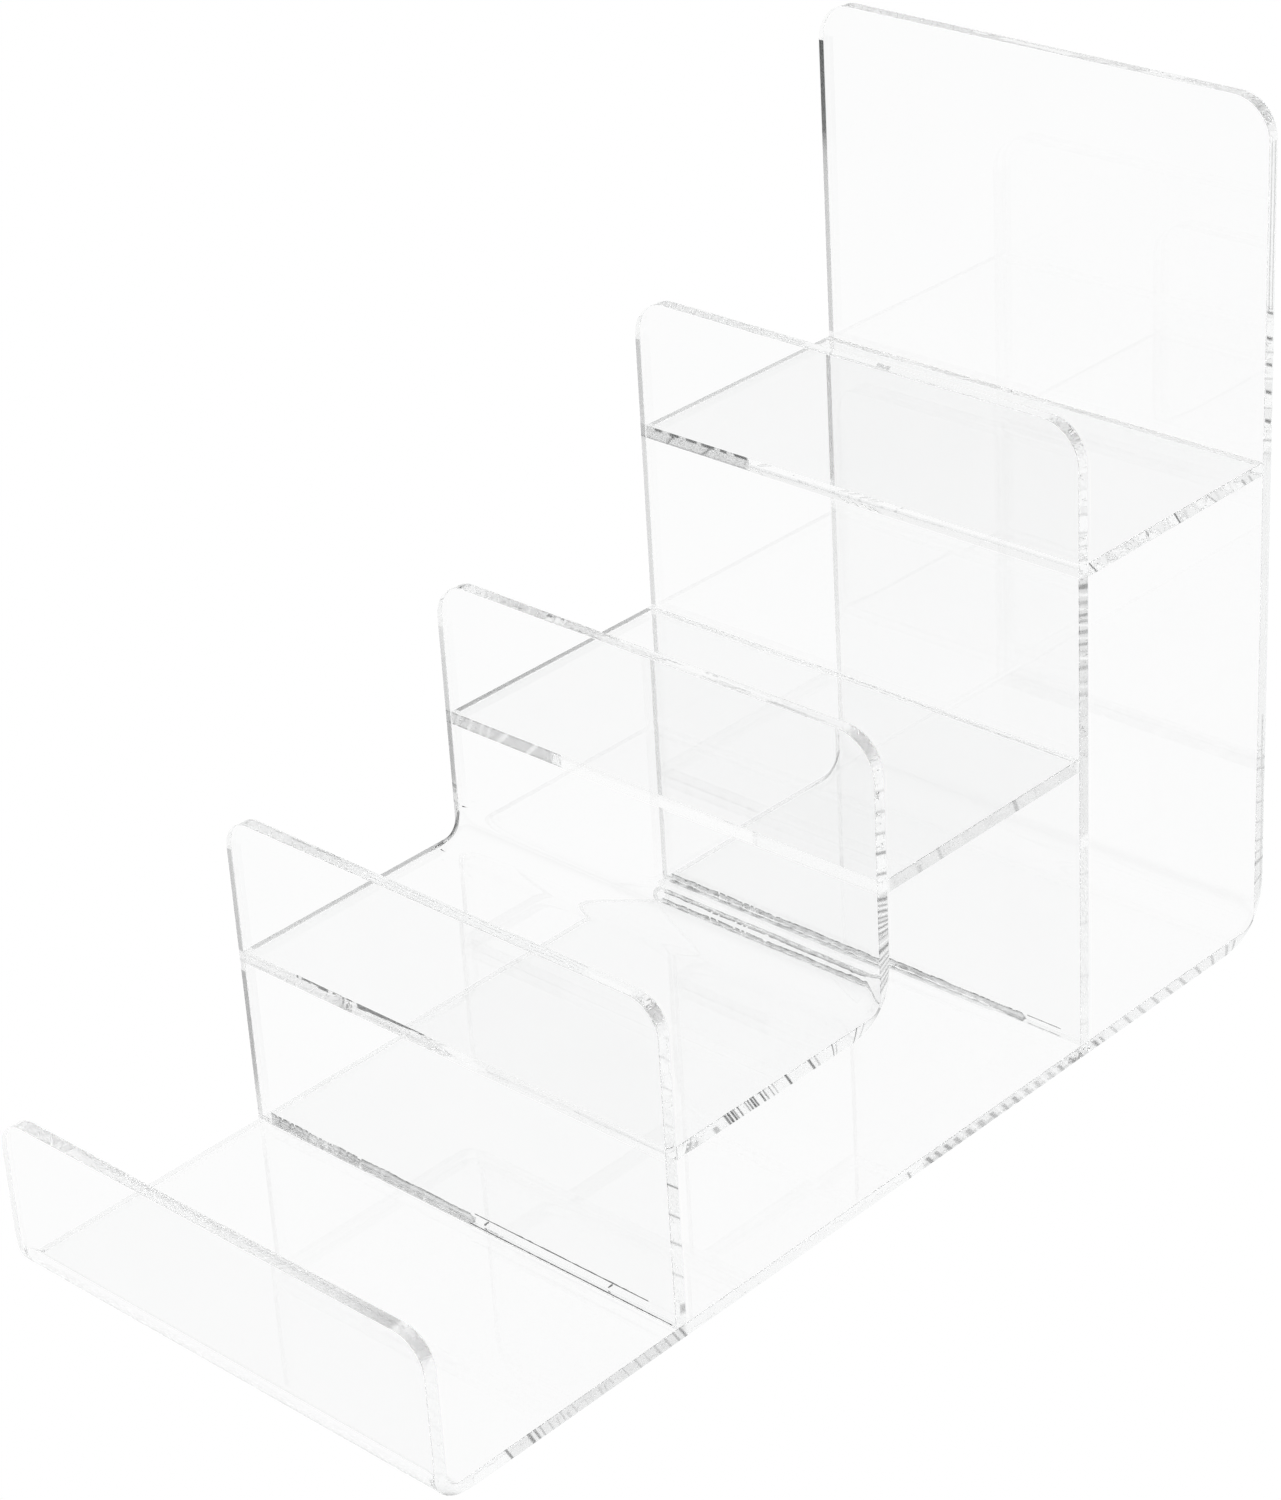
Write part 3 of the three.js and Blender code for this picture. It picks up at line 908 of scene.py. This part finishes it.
def thread(path, y, z, way, size, dark, seed):
    """A thread of cement on an upright's face (at y): path is [(x, height above the floor sheet at z)]."""
    path = np.array(path, float)
    run = np.concatenate([[0], np.cumsum(np.hypot(*np.diff(path, axis=0).T))])
    u = np.linspace(0, run[-1], max(3, int(run[-1] / 0.25) + 1))
    x = np.interp(u, run, path[:, 0])
    h = np.interp(u, run, path[:, 1])
    flat_run = np.hypot(np.gradient(x), np.gradient(h))
    nx, nh = -np.gradient(h) / flat_run, np.gradient(x) / flat_run
    half = size * (1 + 0.3 * smooth_noise(seed, u - HALF, 1.3)) * np.clip(np.minimum(u, run[-1] - u) / 0.3 + 0.25, 0.25, 1)
    ring = []
    for k in range(6):
        a = math.pi * k / 3 + math.pi / 6
        ring.append(np.stack(np.broadcast_arrays(x + nx * half * math.cos(a), y + way * (0.004 + half * 0.5 * (1 + math.sin(a))) + Y_LIP, z + h + nh * half * math.cos(a)), -1))
    ring = np.stack(ring, 1)
    return ring, np.full(ring.shape[:2], dark), ()


# ---------------------------------------------------------------------------------------------------------------
# The six sheets
# ---------------------------------------------------------------------------------------------------------------
def dull(rows):
    """How much of the trapped light the cut loses, as [(position, share)]: most in the middle of its depth."""

    def f(a, w, t):
        return np.interp(a, *zip(*rows)) * (0.55 + 0.45 * np.clip(1.6 - np.abs(w - 1.5), 0, 1))

    return f


def grooves(seed, size, x_end):
    """Saw grooves along a dry joint, in mm: two sets that wander slowly."""

    def f(x, w):
        one = smooth_noise(seed, x, 11.0)
        two = smooth_noise(seed + 1, x, 5.0)
        g = 0.03 * (1 + np.sin(6.283 * (w / 0.9 + 0.7 * one))) + 0.014 * (1 + np.sin(6.283 * (w / 0.42 + 1.1 * two)))
        return size * g * np.clip((x_end - x) / 2.0, 0, 1)

    return f


def corner_lines(x, w, t):
    """The two dry lines along the upper and the lower corner of the high shelf's back joint, with a few breaks."""
    on = 0.1 + 0.05 * smooth_noise(401, x, 2.3) + 0.04 * smooth_noise(402, x, 0.8)
    return np.where((w < 0.4) | (w > 2.6), np.clip(on, 0, 0.8), 0.0)


pieces = {}

F, B, U = FLOOR_S0, BACK_S0, STEP_UP_S0
m_base = {
    "right": Marks(101)
    .ticks([(F + 18.9, 0.5, 0.75), (F + 25.0, 0.7, 0.75), (F + 26.6, 0.5, 0.7), (F + 28.0, 0.4, 0.5), (F + 30.2, 0.4, 0.4)], 0.5)
    .band(F + 19, F + 68, 0.16, 0.22).run(F + 31, F + 50, 1.9, (0.25, 0.42), half=(0.3, 0.6), slant=(0.3, 0.7))
    .ticks([(F + 51, 0.4, 0.4), (F + 54.5, 0.5, 0.45), (F + 57, 0.5, 0.35), (F + 60, 0.6, 0.45), (F + 63, 0.5, 0.5), (F + 65.4, 0.5, 0.6), (F + 67.3, 0.6, 0.7)], 0.6)
    .ticks([(F + 136.2, 0.5, 0.55)], 0.5, w0=1.2)
    .band(F + 141, F + 203, 0.14, 0.1).band(F + 203, F + 252, 0.05, 0.05).line(F + 141, F + 197, 2.35, 0.75, 0.3)
    .ticks([(F + 142.8, 1.0, 0.7), (F + 145.6, 0.9, 0.6), (F + 148.8, 1.0, 0.65), (F + 152, 1.2, 0.55), (F + 156, 1.4, 0.55), (F + 160, 1.5, 0.5), (F + 164, 1.2, 0.55), (F + 168, 0.9, 0.5), (F + 171.5, 1.0, 0.6), (F + 175.5, 1.0, 0.4), (F + 179, 0.9, 0.45), (F + 183.5, 0.9, 0.4), (F + 187, 0.9, 0.55), (F + 191, 0.8, 0.45), (F + 194, 0.7, 0.4), (F + 199.3, 1.0, 0.65), (F + 201.5, 0.6, 0.45)], 0.9, w0=0.9)
    .ticks([(F + 206, 0.7, 0.38), (F + 211, 0.8, 0.42), (F + 216, 0.9, 0.4), (F + 221, 0.8, 0.42), (F + 226, 0.8, 0.42), (F + 231, 0.9, 0.42), (F + 237, 0.9, 0.42), (F + 243, 0.9, 0.42), (F + 249, 0.9, 0.4), (F + 252, 0.7, 0.42)], 0.9, w0=0.4)
    .gap([(F + 154, 0.4), (F + 158, 0.4), (F + 166.3, 0.4), (F + 173.6, 0.6), (F + 177.4, 0.5), (F + 181.4, 0.6), (F + 185.3, 0.5), (F + 189.2, 0.5), (F + 196.5, 0.8)], 0.9, 0.2)
    .band(B + 7, B + 50, 0.12, 0.1).line(B + 9, B + 46, 2.2, 0.6, 0.3).line(B + 40, B + 56, 1.7, 0.45, 0.35).ticks([(B + 13.5, 0.6, 0.4), (B + 18.4, 0.8, 0.5), (B + 21.2, 0.5, 0.35), (B + 24.2, 0.4, 0.4), (B + 29.0, 0.5, 0.3), (B + 34.0, 0.5, 0.35), (B + 38.0, 0.4, 0.28), (B + 42.5, 0.5, 0.4), (B + 45.0, 0.5, 0.35)], -0.25)
    .band(B + 50, B + 119, 0.09, 0.08)
    .ticks([(B + 125.4, 0.6, 0.85), (B + 132.0, 0.6, 0.85), (B + 138.2, 0.55, 0.8), (B + 144.1, 0.55, 0.8), (B + 149.8, 0.5, 0.75)], -0.5, w0=0.5, w1=2.4).ticks([(B + 128.4, 0.3, 0.3), (B + 135, 0.3, 0.3), (B + 141, 0.3, 0.3), (B + 121, 0.4, 0.35), (B + 118, 0.3, 0.2)], -0.4)
    .line(B + 150, B + 189, 0.95, 0.3, 0.42).line(B + 150, B + 189, 2.1, 0.3, 0.42),
    "left": Marks(102).run(31.5, 282, 9.0, (0.02, 0.08)).run(295, 480, 9.0, (0.02, 0.1)),
    "end0": Marks(103).band(-5, 20, 0.0, 0.06).band(20, 36, 0.06, 0.14).band(36, 52, 0.14, 0.4),
    "end1": Marks(104).line(-53, -12, 0.9, 0.3, 0.06).line(-53, -12, 2.2, 0.3, 0.06),
}
pieces["base_back_sheet"] = build_sheet(
    "riser_base_back_sheet", BASE, CORNER_LOW, CORNER_TALL, None, None,
    [("A", FLOOR_S0 + Y1, 1, "seam_front_riser_base"), ("A", FLOOR_S0 + Y3, 1, "seam_tall_riser_base"), ("A", BACK_S0 + S3, -1, "seam_top_shelf_back")],
    m_base,
    {"left": dull([(0, 0.03), (B + 70, 0.03), (B + 80, 0.08), (B + 154, 0.09), (B + 163, 0.11), (B + 186, 0.12), (B + 189, 0.03)])}, 1,
    # rim: painted shade along the left of face A, standing for the dark left cut seen through it
    painted_shade_rim=[[(B + 31, 0.12), (B + 50, 0.22), (B + 74, 0.22)], [(B + 79, 0.45), (B + 95, 0.6), (B + 111.5, 0.62)], [(B + 117.6, 0.45), (B + 150, 0.52), (B + 160, 0.62), (B + 166, 0.97), (B + 187.2, 1.0)]])

pieces["front_riser"] = build_sheet(
    "riser_front_upright", upright_profile(Y1, T + FILM, H1), 0.0, CORNER_LOW, "seam_front_riser_base", None,
    [("B", S1 - T - FILM, -1, "seam_step_front_riser")],
    {"right": Marks(111).ticks([(4.0, 1.6, 0.5)], -0.3, w0=1.5).ticks([(12.0, 0.4, 0.3), (19.4, 0.4, 0.45), (25.8, 0.3, 0.6), (32.7, 0.3, 0.85), (46.4, 0.3, 0.2), (54.8, 0.3, 0.22), (61.5, 0.3, 0.22), (66.3, 0.4, 0.18)], -0.9),
     "left": Marks(112).run(0, 66, 8.0, (0.02, 0.12)),
     "end1": Marks(114).line(-55, -48.4, 2.45, 0.22, 0.2).line(-47.6, -44.5, 2.45, 0.22, 0.4).line(-42, -35.6, 2.35, 0.22, 0.5).line(-35.2, -27, 2.35, 0.22, 0.45).line(-27, -20, 2.5, 0.2, 0.12)},
    {"left": dull([(0, 0.05), (12, 0.1), (38, 0.12), (42, 0.08), (66, 0.07), (68, 0.02)])}, 2, grooves(201, 1.0, 4.0),
    # last argument: painted shade along the left of face A, standing for the dark left cut seen through it
    [[(1.0, 0.2), (5, 0.3), (11, 0.64), (24, 0.74), (37, 0.7)], [(41.5, 0.6), (52, 0.55), (66.8, 0.5)]])

pieces["step_sheet"] = build_sheet(
    "riser_step_sheet", STEP, 0.0, CORNER_TALL, "seam_step_front_riser", None,
    [("B", STEP_UP_S0 + S2, -1, "seam_mid_shelf_step")],
    {"right": Marks(121)
     .ticks([(10.9, 1.0, 0.5)], 0.6, w0=1.3)
     .ticks([(14.5, 0.5, 0.85), (15.4, 0.45, 0.95), (16.4, 0.4, 0.95), (17.0, 0.3, 0.7), (18.2, 0.3, 0.8), (20.3, 0.3, 0.6), (21.1, 0.35, 0.8), (22.0, 0.4, 0.95), (22.7, 0.35, 0.9), (24.7, 0.35, 0.9), (25.7, 0.3, 0.7), (27.3, 0.25, 0.6), (28.4, 0.25, 0.4), (32.4, 0.45, 0.9), (39.3, 0.5, 0.85), (41.0, 0.4, 0.4), (46.3, 0.25, 0.75), (47.4, 0.3, 0.35), (53.9, 0.25, 0.9), (56.2, 0.4, 0.35)], 0.6)
     .band(U + 48, U + 70.6, 0.2, 0.26)
     .ticks([(U + 48.2, 0.7, 0.45), (U + 49.8, 0.5, 0.52), (U + 51.2, 0.45, 0.54), (U + 52.6, 0.4, 0.48), (U + 54.0, 0.45, 0.54), (U + 55.4, 0.4, 0.58), (U + 57.4, 0.85, 0.72), (U + 60.2, 0.45, 0.48), (U + 61.5, 0.5, 0.64), (U + 62.9, 0.38, 0.66), (U + 64.1, 0.4, 0.62), (U + 65.2, 0.36, 0.64), (U + 66.7, 0.5, 0.66), (U + 68.0, 0.34, 0.58), (U + 69.4, 0.65, 0.7), (U + 75.1, 0.5, 0.52), (U + 79.8, 0.55, 0.62), (U + 84.2, 0.5, 0.35), (U + 89, 0.5, 0.28), (U + 93.6, 0.4, 0.2), (U + 97, 0.4, 0.12)], -0.3)
     .gap([(U + 50.5, 0.24), (U + 51.9, 0.22), (U + 53.3, 0.24), (U + 54.7, 0.22), (U + 56.2, 0.26)], -0.3, 0.25)
     .gap([(U + 58.9, 0.3), (U + 62.2, 0.24), (U + 63.55, 0.22), (U + 65.9, 0.3), (U + 67.4, 0.25), (U + 68.55, 0.22)], -0.3, 0.0),
     "left": Marks(122).run(0, 110, 8.0, (0.02, 0.12)),
     "end0": Marks(123).band(-60, 60, 0.93, 0.93),
     "end1": Marks(124).run(-52, -22, 2.4, (0.04, 0.14), (0.01, 0.03), (0.25, 0.5), (-0.9, -0.5)).line(-52, -22, 2.5, 0.25, 0.14).line(-24, -10, 2.35, 0.25, 0.3).line(-52, 0, 0.5, 0.25, 0.08).line(0, 52, 0.6, 0.25, 0.05)},
    {"left": dull([(0, 0.06), (40, 0.08), (56.0, 0.08), (57.2, 0.2), (60.0, 0.2), (61.2, 0.06), (U + 54, 0.06), (U + 58, 0.1), (U + 70, 0.1), (U + 75, 0.06), (U + 95, 0.05), (U + 97, 0.02)])}, 3,
    # rim: painted shade along the left of face A, standing for the dark left cut seen through it
    painted_shade_rim=[[(1.5, 0.5), (20, 0.55), (54, 0.6), (56.5, 0.96), (62.0, 0.97), (63.6, 0.25), (U + 54, 0.3), (U + 58, 0.66), (U + 70, 0.7), (U + 73, 0.45), (U + 84, 0.4), (U + 94.6, 0.28)]])

pieces["mid_shelf"] = build_sheet(
    "riser_middle_shelf", shelf_profile(Y2 + T + FILM, Y3 - FILM, S2), 0.0, 0.0, "seam_mid_shelf_step", "seam_mid_shelf_tall_riser", [],
    {"right": Marks(131).band(0.5, 61, 0.2, 0.16).ticks([(9.6, 1.3, 0.4)], 0.4, w0=1.2).ticks([(16.2, 0.9, 0.4), (40.6, 1.0, 0.5), (47.1, 0.8, 0.25), (3.6, 0.8, 0.16), (23.6, 0.8, 0.16), (30.6, 0.7, 0.16)], 0.4),
     "left": Marks(132).run(0, 62, 8.0, (0.02, 0.12)),
     "end0": Marks(133).band(-60, -27.0, 0.28, 0.28).run(-58, -30, 2.4, (0.35, 0.5), (0.02, 0.05), (0.3, 0.8), (-1.2, -0.6)).line(-60, -27.0, 0.2, 0.3, 0.6).line(-60, -27.0, 2.8, 0.3, 0.6).gap([(-44.6, 0.8), (-36.0, 0.8)], -1.0, 0.0).gap([(-54.4, 0.6), (-58.0, 0.5), (-51.0, 0.5), (-48.8, 0.5)], -0.4, 0.25)},
    # last argument: painted shade along the left of face A, standing for the dark left cut seen through it
    {"left": dull([(0, 0.07), (62, 0.06)])}, 4, grooves(204, 0.7, -26.0), [[(1.2, 0.8), (30, 0.75), (60.5, 0.6)]])

pieces["tall_riser"] = build_sheet(
    "riser_tall_upright", upright_profile(Y3, T + FILM, H3), 0.0, CORNER_TALL, "seam_tall_riser_base", None,
    [("A", S2 - T - FILM, -1, "seam_mid_shelf_tall_riser"), ("B", S3 - T - FILM, -1, "seam_top_shelf_tall_riser")],
    {"right": Marks(141).ticks([(5, 0.4, 0.15), (17, 0.4, 0.15), (30, 0.4, 0.18), (42, 0.4, 0.18)], -0.3).band(51, 84, 0.17, 0.2).band(84, 111, 0.2, 0.27)
     .ticks([(84.3, 0.7, 0.45), (87.2, 0.5, 0.35), (90.4, 0.9, 0.5), (94.2, 0.5, 0.4), (95.8, 0.6, 0.58), (98.6, 0.8, 0.6), (101.0, 0.5, 0.58), (102.4, 0.6, 0.64), (105.2, 0.8, 0.5), (108.8, 1.0, 0.74), (114.8, 0.4, 0.22), (117.8, 0.3, 0.22), (120.8, 0.4, 0.2), (124.8, 0.4, 0.22)], -0.3).gap([(86.1, 0.4), (92.6, 0.45), (97.2, 0.35), (100.1, 0.3), (103.7, 0.3), (107.0, 0.5)], -0.4, 0.1),
     "left": Marks(142).run(0, 134, 8.0, (0.02, 0.1)),
     "end1": Marks(144).run(-52, -19, 2.2, (0.06, 0.14), (0.01, 0.03), (0.3, 0.5), (-0.9, -0.6)).band(-52, -10, 0.02, 0.01)},
    {"left": dull([(0, 0.03), (60, 0.04), (110, 0.05), (134, 0.06), (136, 0.02)])}, 5, grooves(205, 1.0, 40.0),
    # last argument: painted shade along the left of face A, standing for the dark left cut seen through it
    [[(1.2, 0.15), (20, 0.25), (66, 0.3)], [(70.4, 0.34), (108, 0.36), (113.6, 0.42), (120, 0.52), (134.6, 0.52)]])

pieces["top_shelf"] = build_sheet(
    "riser_high_shelf", shelf_profile(Y3 + T + FILM, YB - FILM, S3), 0.0, 0.0, "seam_top_shelf_tall_riser", "seam_top_shelf_back", [],
    {"right": Marks(151).ticks([(1.5, 0.35, 0.8)], 0.9).ticks([(20.1, 0.35, 0.65)], 0.6, w1=1.7).ticks([(30.2, 0.4, 0.92)], 0.7).ticks([(42.2, 0.4, 0.5)], 1.2).ticks([(53.2, 0.5, 0.55), (55.6, 0.5, 0.4)], 0.8, w0=1.3).run(4, 52, 3.0, (0.05, 0.2), (0.005, 0.02), (0.3, 0.8), (0.3, 0.9)),
     "left": Marks(152).run(0, 60, 8.0, (0.02, 0.12)),
     "end0": Marks(153).band(-60, -29.4, 0.26, 0.26).line(-60, -29.6, 2.8, 0.3, 0.6)
     .line(-57.8, -54.9, 0.35, 0.6, 1.0).line(-53.4, -49.8, 0.35, 0.65, 1.0).line(-48.4, -44.6, 0.35, 0.6, 1.0).line(-43.9, -39.5, 0.4, 0.7, 1.0).line(-38.4, -36.0, 0.35, 0.6, 1.0).line(-34.4, -30.0, 0.35, 0.65, 1.0)
     .ticks([(-52.2, 0.8, 1.0)], -0.2, w1=1.2).ticks([(-52.6, 0.5, 0.85)], -0.9).ticks([(-42.0, 0.5, 0.97)], -1.2).run(-59, -31, 3.0, (0.3, 0.5), (0.02, 0.04), (0.3, 0.8), (-1.0, -0.4)),
     "end1": Marks(154).run(-58, -14, 1.5, (0.1, 0.4))},
    # last argument: painted shade along the left of face A, standing for the dark left cut seen through it
    {"left": dull([(0, 0.07), (62, 0.06)]), "end1": corner_lines}, 6, grooves(206, 0.6, -28.0), [[(1.2, 0.45), (30, 0.42), (59.0, 0.4)]])


# ---------------------------------------------------------------------------------------------------------------
# The seven seams
# ---------------------------------------------------------------------------------------------------------------
def spot(x, y, z):
    return np.stack(np.broadcast_arrays(x, np.asarray(y) + Y_LIP, z), -1)


def cloud_front(x, q):
    """Clouded in short upright strokes on the left, in one grey streak towards the middle."""
    stroke = np.where(smooth_noise(301, x + 0.5 * q, 1.3) > -0.05, 0.8, 0.1) + 0.15 * smooth_noise(302, x - 0.8 * q, 2.3)
    streak = 0.6 + 0.15 * smooth_noise(304, x + 0.4 * q, 1.1) + 0.25 * smooth_noise(305, x + 9 * q, 5.0)
    k = np.clip((x + 30) / 8.0, 0, 1)
    left = (stroke * (1 - k) + streak * k) * np.clip((3.2 - x) / 1.0, 0, 1) * np.clip((x + 58) / 2.0, 0, 1)
    edge = np.where(q < 0.1, 0.6 + 0.3 * smooth_noise(303, x, 1.7), 0.0)
    return np.clip(np.maximum(left, edge), 0, 0.95)


def cloud_tall(x, q):
    """Clouded in broad slanted strokes, thinning out to the right below a dark upper line."""
    streak = 0.66 + 0.22 * smooth_noise(311, x + 0.6 * q, 1.1) + 0.16 * smooth_noise(312, x, 3.7)
    stroke = np.where(smooth_noise(313, x + 1.2 * q, 1.5) > 0.5, 0.1, 1.0)
    left = streak * stroke * np.clip((44 - x) / 30.0, 0, 1) ** 0.6
    edge = np.where(q < 0.2, 0.82 + 0.12 * smooth_noise(314, x, 3.0), 0.0)
    return np.clip(np.maximum(left, edge), 0, 0.95)


def smear_tall(x, q):
    """A thin smear on the front of the tall upright's foot, in slanted strokes that thin out to the right."""
    streak = 0.3 + 0.35 * smooth_noise(315, x + 2.2 * q, 1.3) + 0.16 * smooth_noise(316, x - 1.5 * q, 4.1)
    return np.clip(streak * np.clip((36 - x) / 60.0, 0, 1) ** 0.6, 0, 0.8) * np.ones_like(x + q)


pieces["seam_front_riser_base"] = build_film(
    "cement_front_riser_base", "seam_front_riser_base", lambda x, w, d: spot(x, Y1 + w, T + d),
    short_beads([(-57.2, -55.6), (-55.2, -54.0), (-53.6, -51.6), (-51.2, -50.2), (-49.8, -47.6), (-47.2, -45.8), (-45.4, -43.0), (-42.6, -41.6),
                 (-41.2, -38.6), (-38.2, -37.0), (-36.6, -34.2), (-33.8, -32.6), (-32.2, -30.8)], Y1 + T, T, 1, 1.8, 1.3, 341, cloud_front, 1.0) +
    [bead(-30.4, 3.4, Y1 + T, T, 1, 1.9, 1.4, 321, cloud_front, 0.3),
     thread([(3.6, 2.2), (51.5, 2.2)], Y1 + T, T, 1, 0.14, 0.9, 322),
     thread([(3.6, 0.78), (59.0, 0.78)], Y1, T, -1, 0.12, 0.9, 325),
     thread([(6.2, 0.5), (7.6, 1.9)], Y1 + T, T, 1, 0.22, 0.97, 323),
     thread([(40.5, 0.5), (41.9, 1.9)], Y1 + T, T, 1, 0.22, 0.97, 324)])
pieces["seam_tall_riser_base"] = build_film(
    "cement_tall_riser_base", "seam_tall_riser_base", lambda x, w, d: spot(x, Y3 + w, T + d),
    short_beads([(-58.4, -54.4), (-53.8, -50.8), (-50.2, -47.4), (-47.0, -44.0), (-43.4, -41.8), (-41.2, -36.6), (-36.0, -34.6), (-34.0, -33.2),
                 (-32.6, -27.6)], Y3 + T, T, 1, 1.25, 1.2, 351, cloud_tall, 0.9) +
    [bead(-27.2, 44.0, Y3 + T, T, 1, 1.25, 1.2, 331, cloud_tall, 0.5),
     bead(-58.0, 36.0, Y3, T, -1, 1.15, 0.22, 333, smear_tall, 0.6),
     thread([(44.3, 1.15), (53.5, 1.15)], Y3 + T, T, 1, 0.11, 0.6, 332)])
pieces["seam_step_front_riser"] = build_film("cement_step_front_riser", "seam_step_front_riser", lambda x, w, d: spot(x, Y1 + T + d, S1 - w))
pieces["seam_mid_shelf_step"] = build_film("cement_mid_shelf_step", "seam_mid_shelf_step", lambda x, w, d: spot(x, Y2 + T + d, S2 - w))
pieces["seam_mid_shelf_tall_riser"] = build_film("cement_mid_shelf_tall_riser", "seam_mid_shelf_tall_riser", lambda x, w, d: spot(x, Y3 - d, S2 - w))
pieces["seam_top_shelf_tall_riser"] = build_film("cement_top_shelf_tall_riser", "seam_top_shelf_tall_riser", lambda x, w, d: spot(x, Y3 + T + d, S3 - w))
pieces["seam_top_shelf_back"] = build_film("cement_top_shelf_back", "seam_top_shelf_back", lambda x, w, d: spot(x, YB - d, S3 - w))

for node, piece in pieces.items():
    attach(piece, "root")
    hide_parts(node)


# ---------------------------------------------------------------------------------------------------------------
# Floor, light and camera
# ---------------------------------------------------------------------------------------------------------------
def build_floor():
    mesh = bpy.data.meshes.new("floor")
    r = 6.0
    z = -0.0005
    mesh.from_pydata([(-r, -r, z), (r, -r, z), (r, r, z), (-r, r, z)], [], [(0, 1, 2, 3)])
    mat, nt, out = new_material("floor_white")
    glow = nt.nodes.new("ShaderNodeEmission")
    glow.inputs["Color"].default_value = (1, 1, 1, 1)
    glow.inputs["Strength"].default_value = 1.0
    nt.links.new(glow.outputs["Emission"], out.inputs["Surface"])
    mesh.materials.append(mat)
    obj = bpy.data.objects.new("floor", mesh)
    bpy.context.scene.collection.objects.link(obj)


def build_world():
    world = bpy.data.worlds.new("studio")
    bpy.context.scene.world = world
    world.use_nodes = True
    nt = world.node_tree
    nt.nodes.clear()
    out = nt.nodes.new("ShaderNodeOutputWorld")
    back = nt.nodes.new("ShaderNodeBackground")
    coord = nt.nodes.new("ShaderNodeTexCoord")
    sep = nt.nodes.new("ShaderNodeSeparateXYZ")
    rampn = nt.nodes.new("ShaderNodeValToRGB")
    nt.links.new(coord.outputs["Generated"], sep.inputs["Vector"])
    nt.links.new(sep.outputs["Z"], rampn.inputs["Fac"])
    el = rampn.color_ramp.elements
    stops = [(0.0, 0.3), (0.14, 0.5), (0.3, 0.84), (0.5, 0.97), (1.0, 1.0)]
    el[0].position, el[1].position = stops[0][0], stops[-1][0]
    for p, v in stops[1:-1]:
        el.new(p)
    for e, (p, v) in zip(sorted(el, key=lambda k: k.position), stops):
        e.color = (v, v, v, 1)
    nt.links.new(rampn.outputs["Color"], back.inputs["Color"])
    back.inputs["Strength"].default_value = 1.0
    nt.links.new(back.outputs["Background"], out.inputs["Surface"])


def build_camera():
    az, el, roll = (math.radians(v) for v in (44.4198, 28.2110, -3.5634))
    b = Vector((math.sin(az) * math.cos(el), -math.cos(az) * math.cos(el), math.sin(el)))
    r = Vector((math.cos(az), math.sin(az), 0.0))
    u = b.cross(r)
    r2 = r * math.cos(roll) + u * math.sin(roll)
    u2 = u * math.cos(roll) - r * math.sin(roll)
    cam = bpy.data.cameras.new("camera")
    cam.sensor_width = 36.0
    cam.lens = 4009.45 / 1500 * 36.0
    cam.clip_start = 0.01
    cam.clip_end = 50.0
    obj = bpy.data.objects.new("camera", cam)
    m = Matrix((r2, u2, b)).transposed().to_4x4()
    m.translation = Vector((0.50202, -0.51601, 0.46965))
    obj.matrix_world = m
    bpy.context.scene.collection.objects.link(obj)
    bpy.context.scene.camera = obj


build_floor()
build_world()
build_camera()

scene = bpy.context.scene
scene.view_settings.view_transform = "Standard"
scene.view_settings.look = "None"
scene.cycles.max_bounces = 1000
scene.cycles.transmission_bounces = 1000
scene.cycles.glossy_bounces = 1000
scene.cycles.diffuse_bounces = 4
scene.cycles.transparent_max_bounces = 64
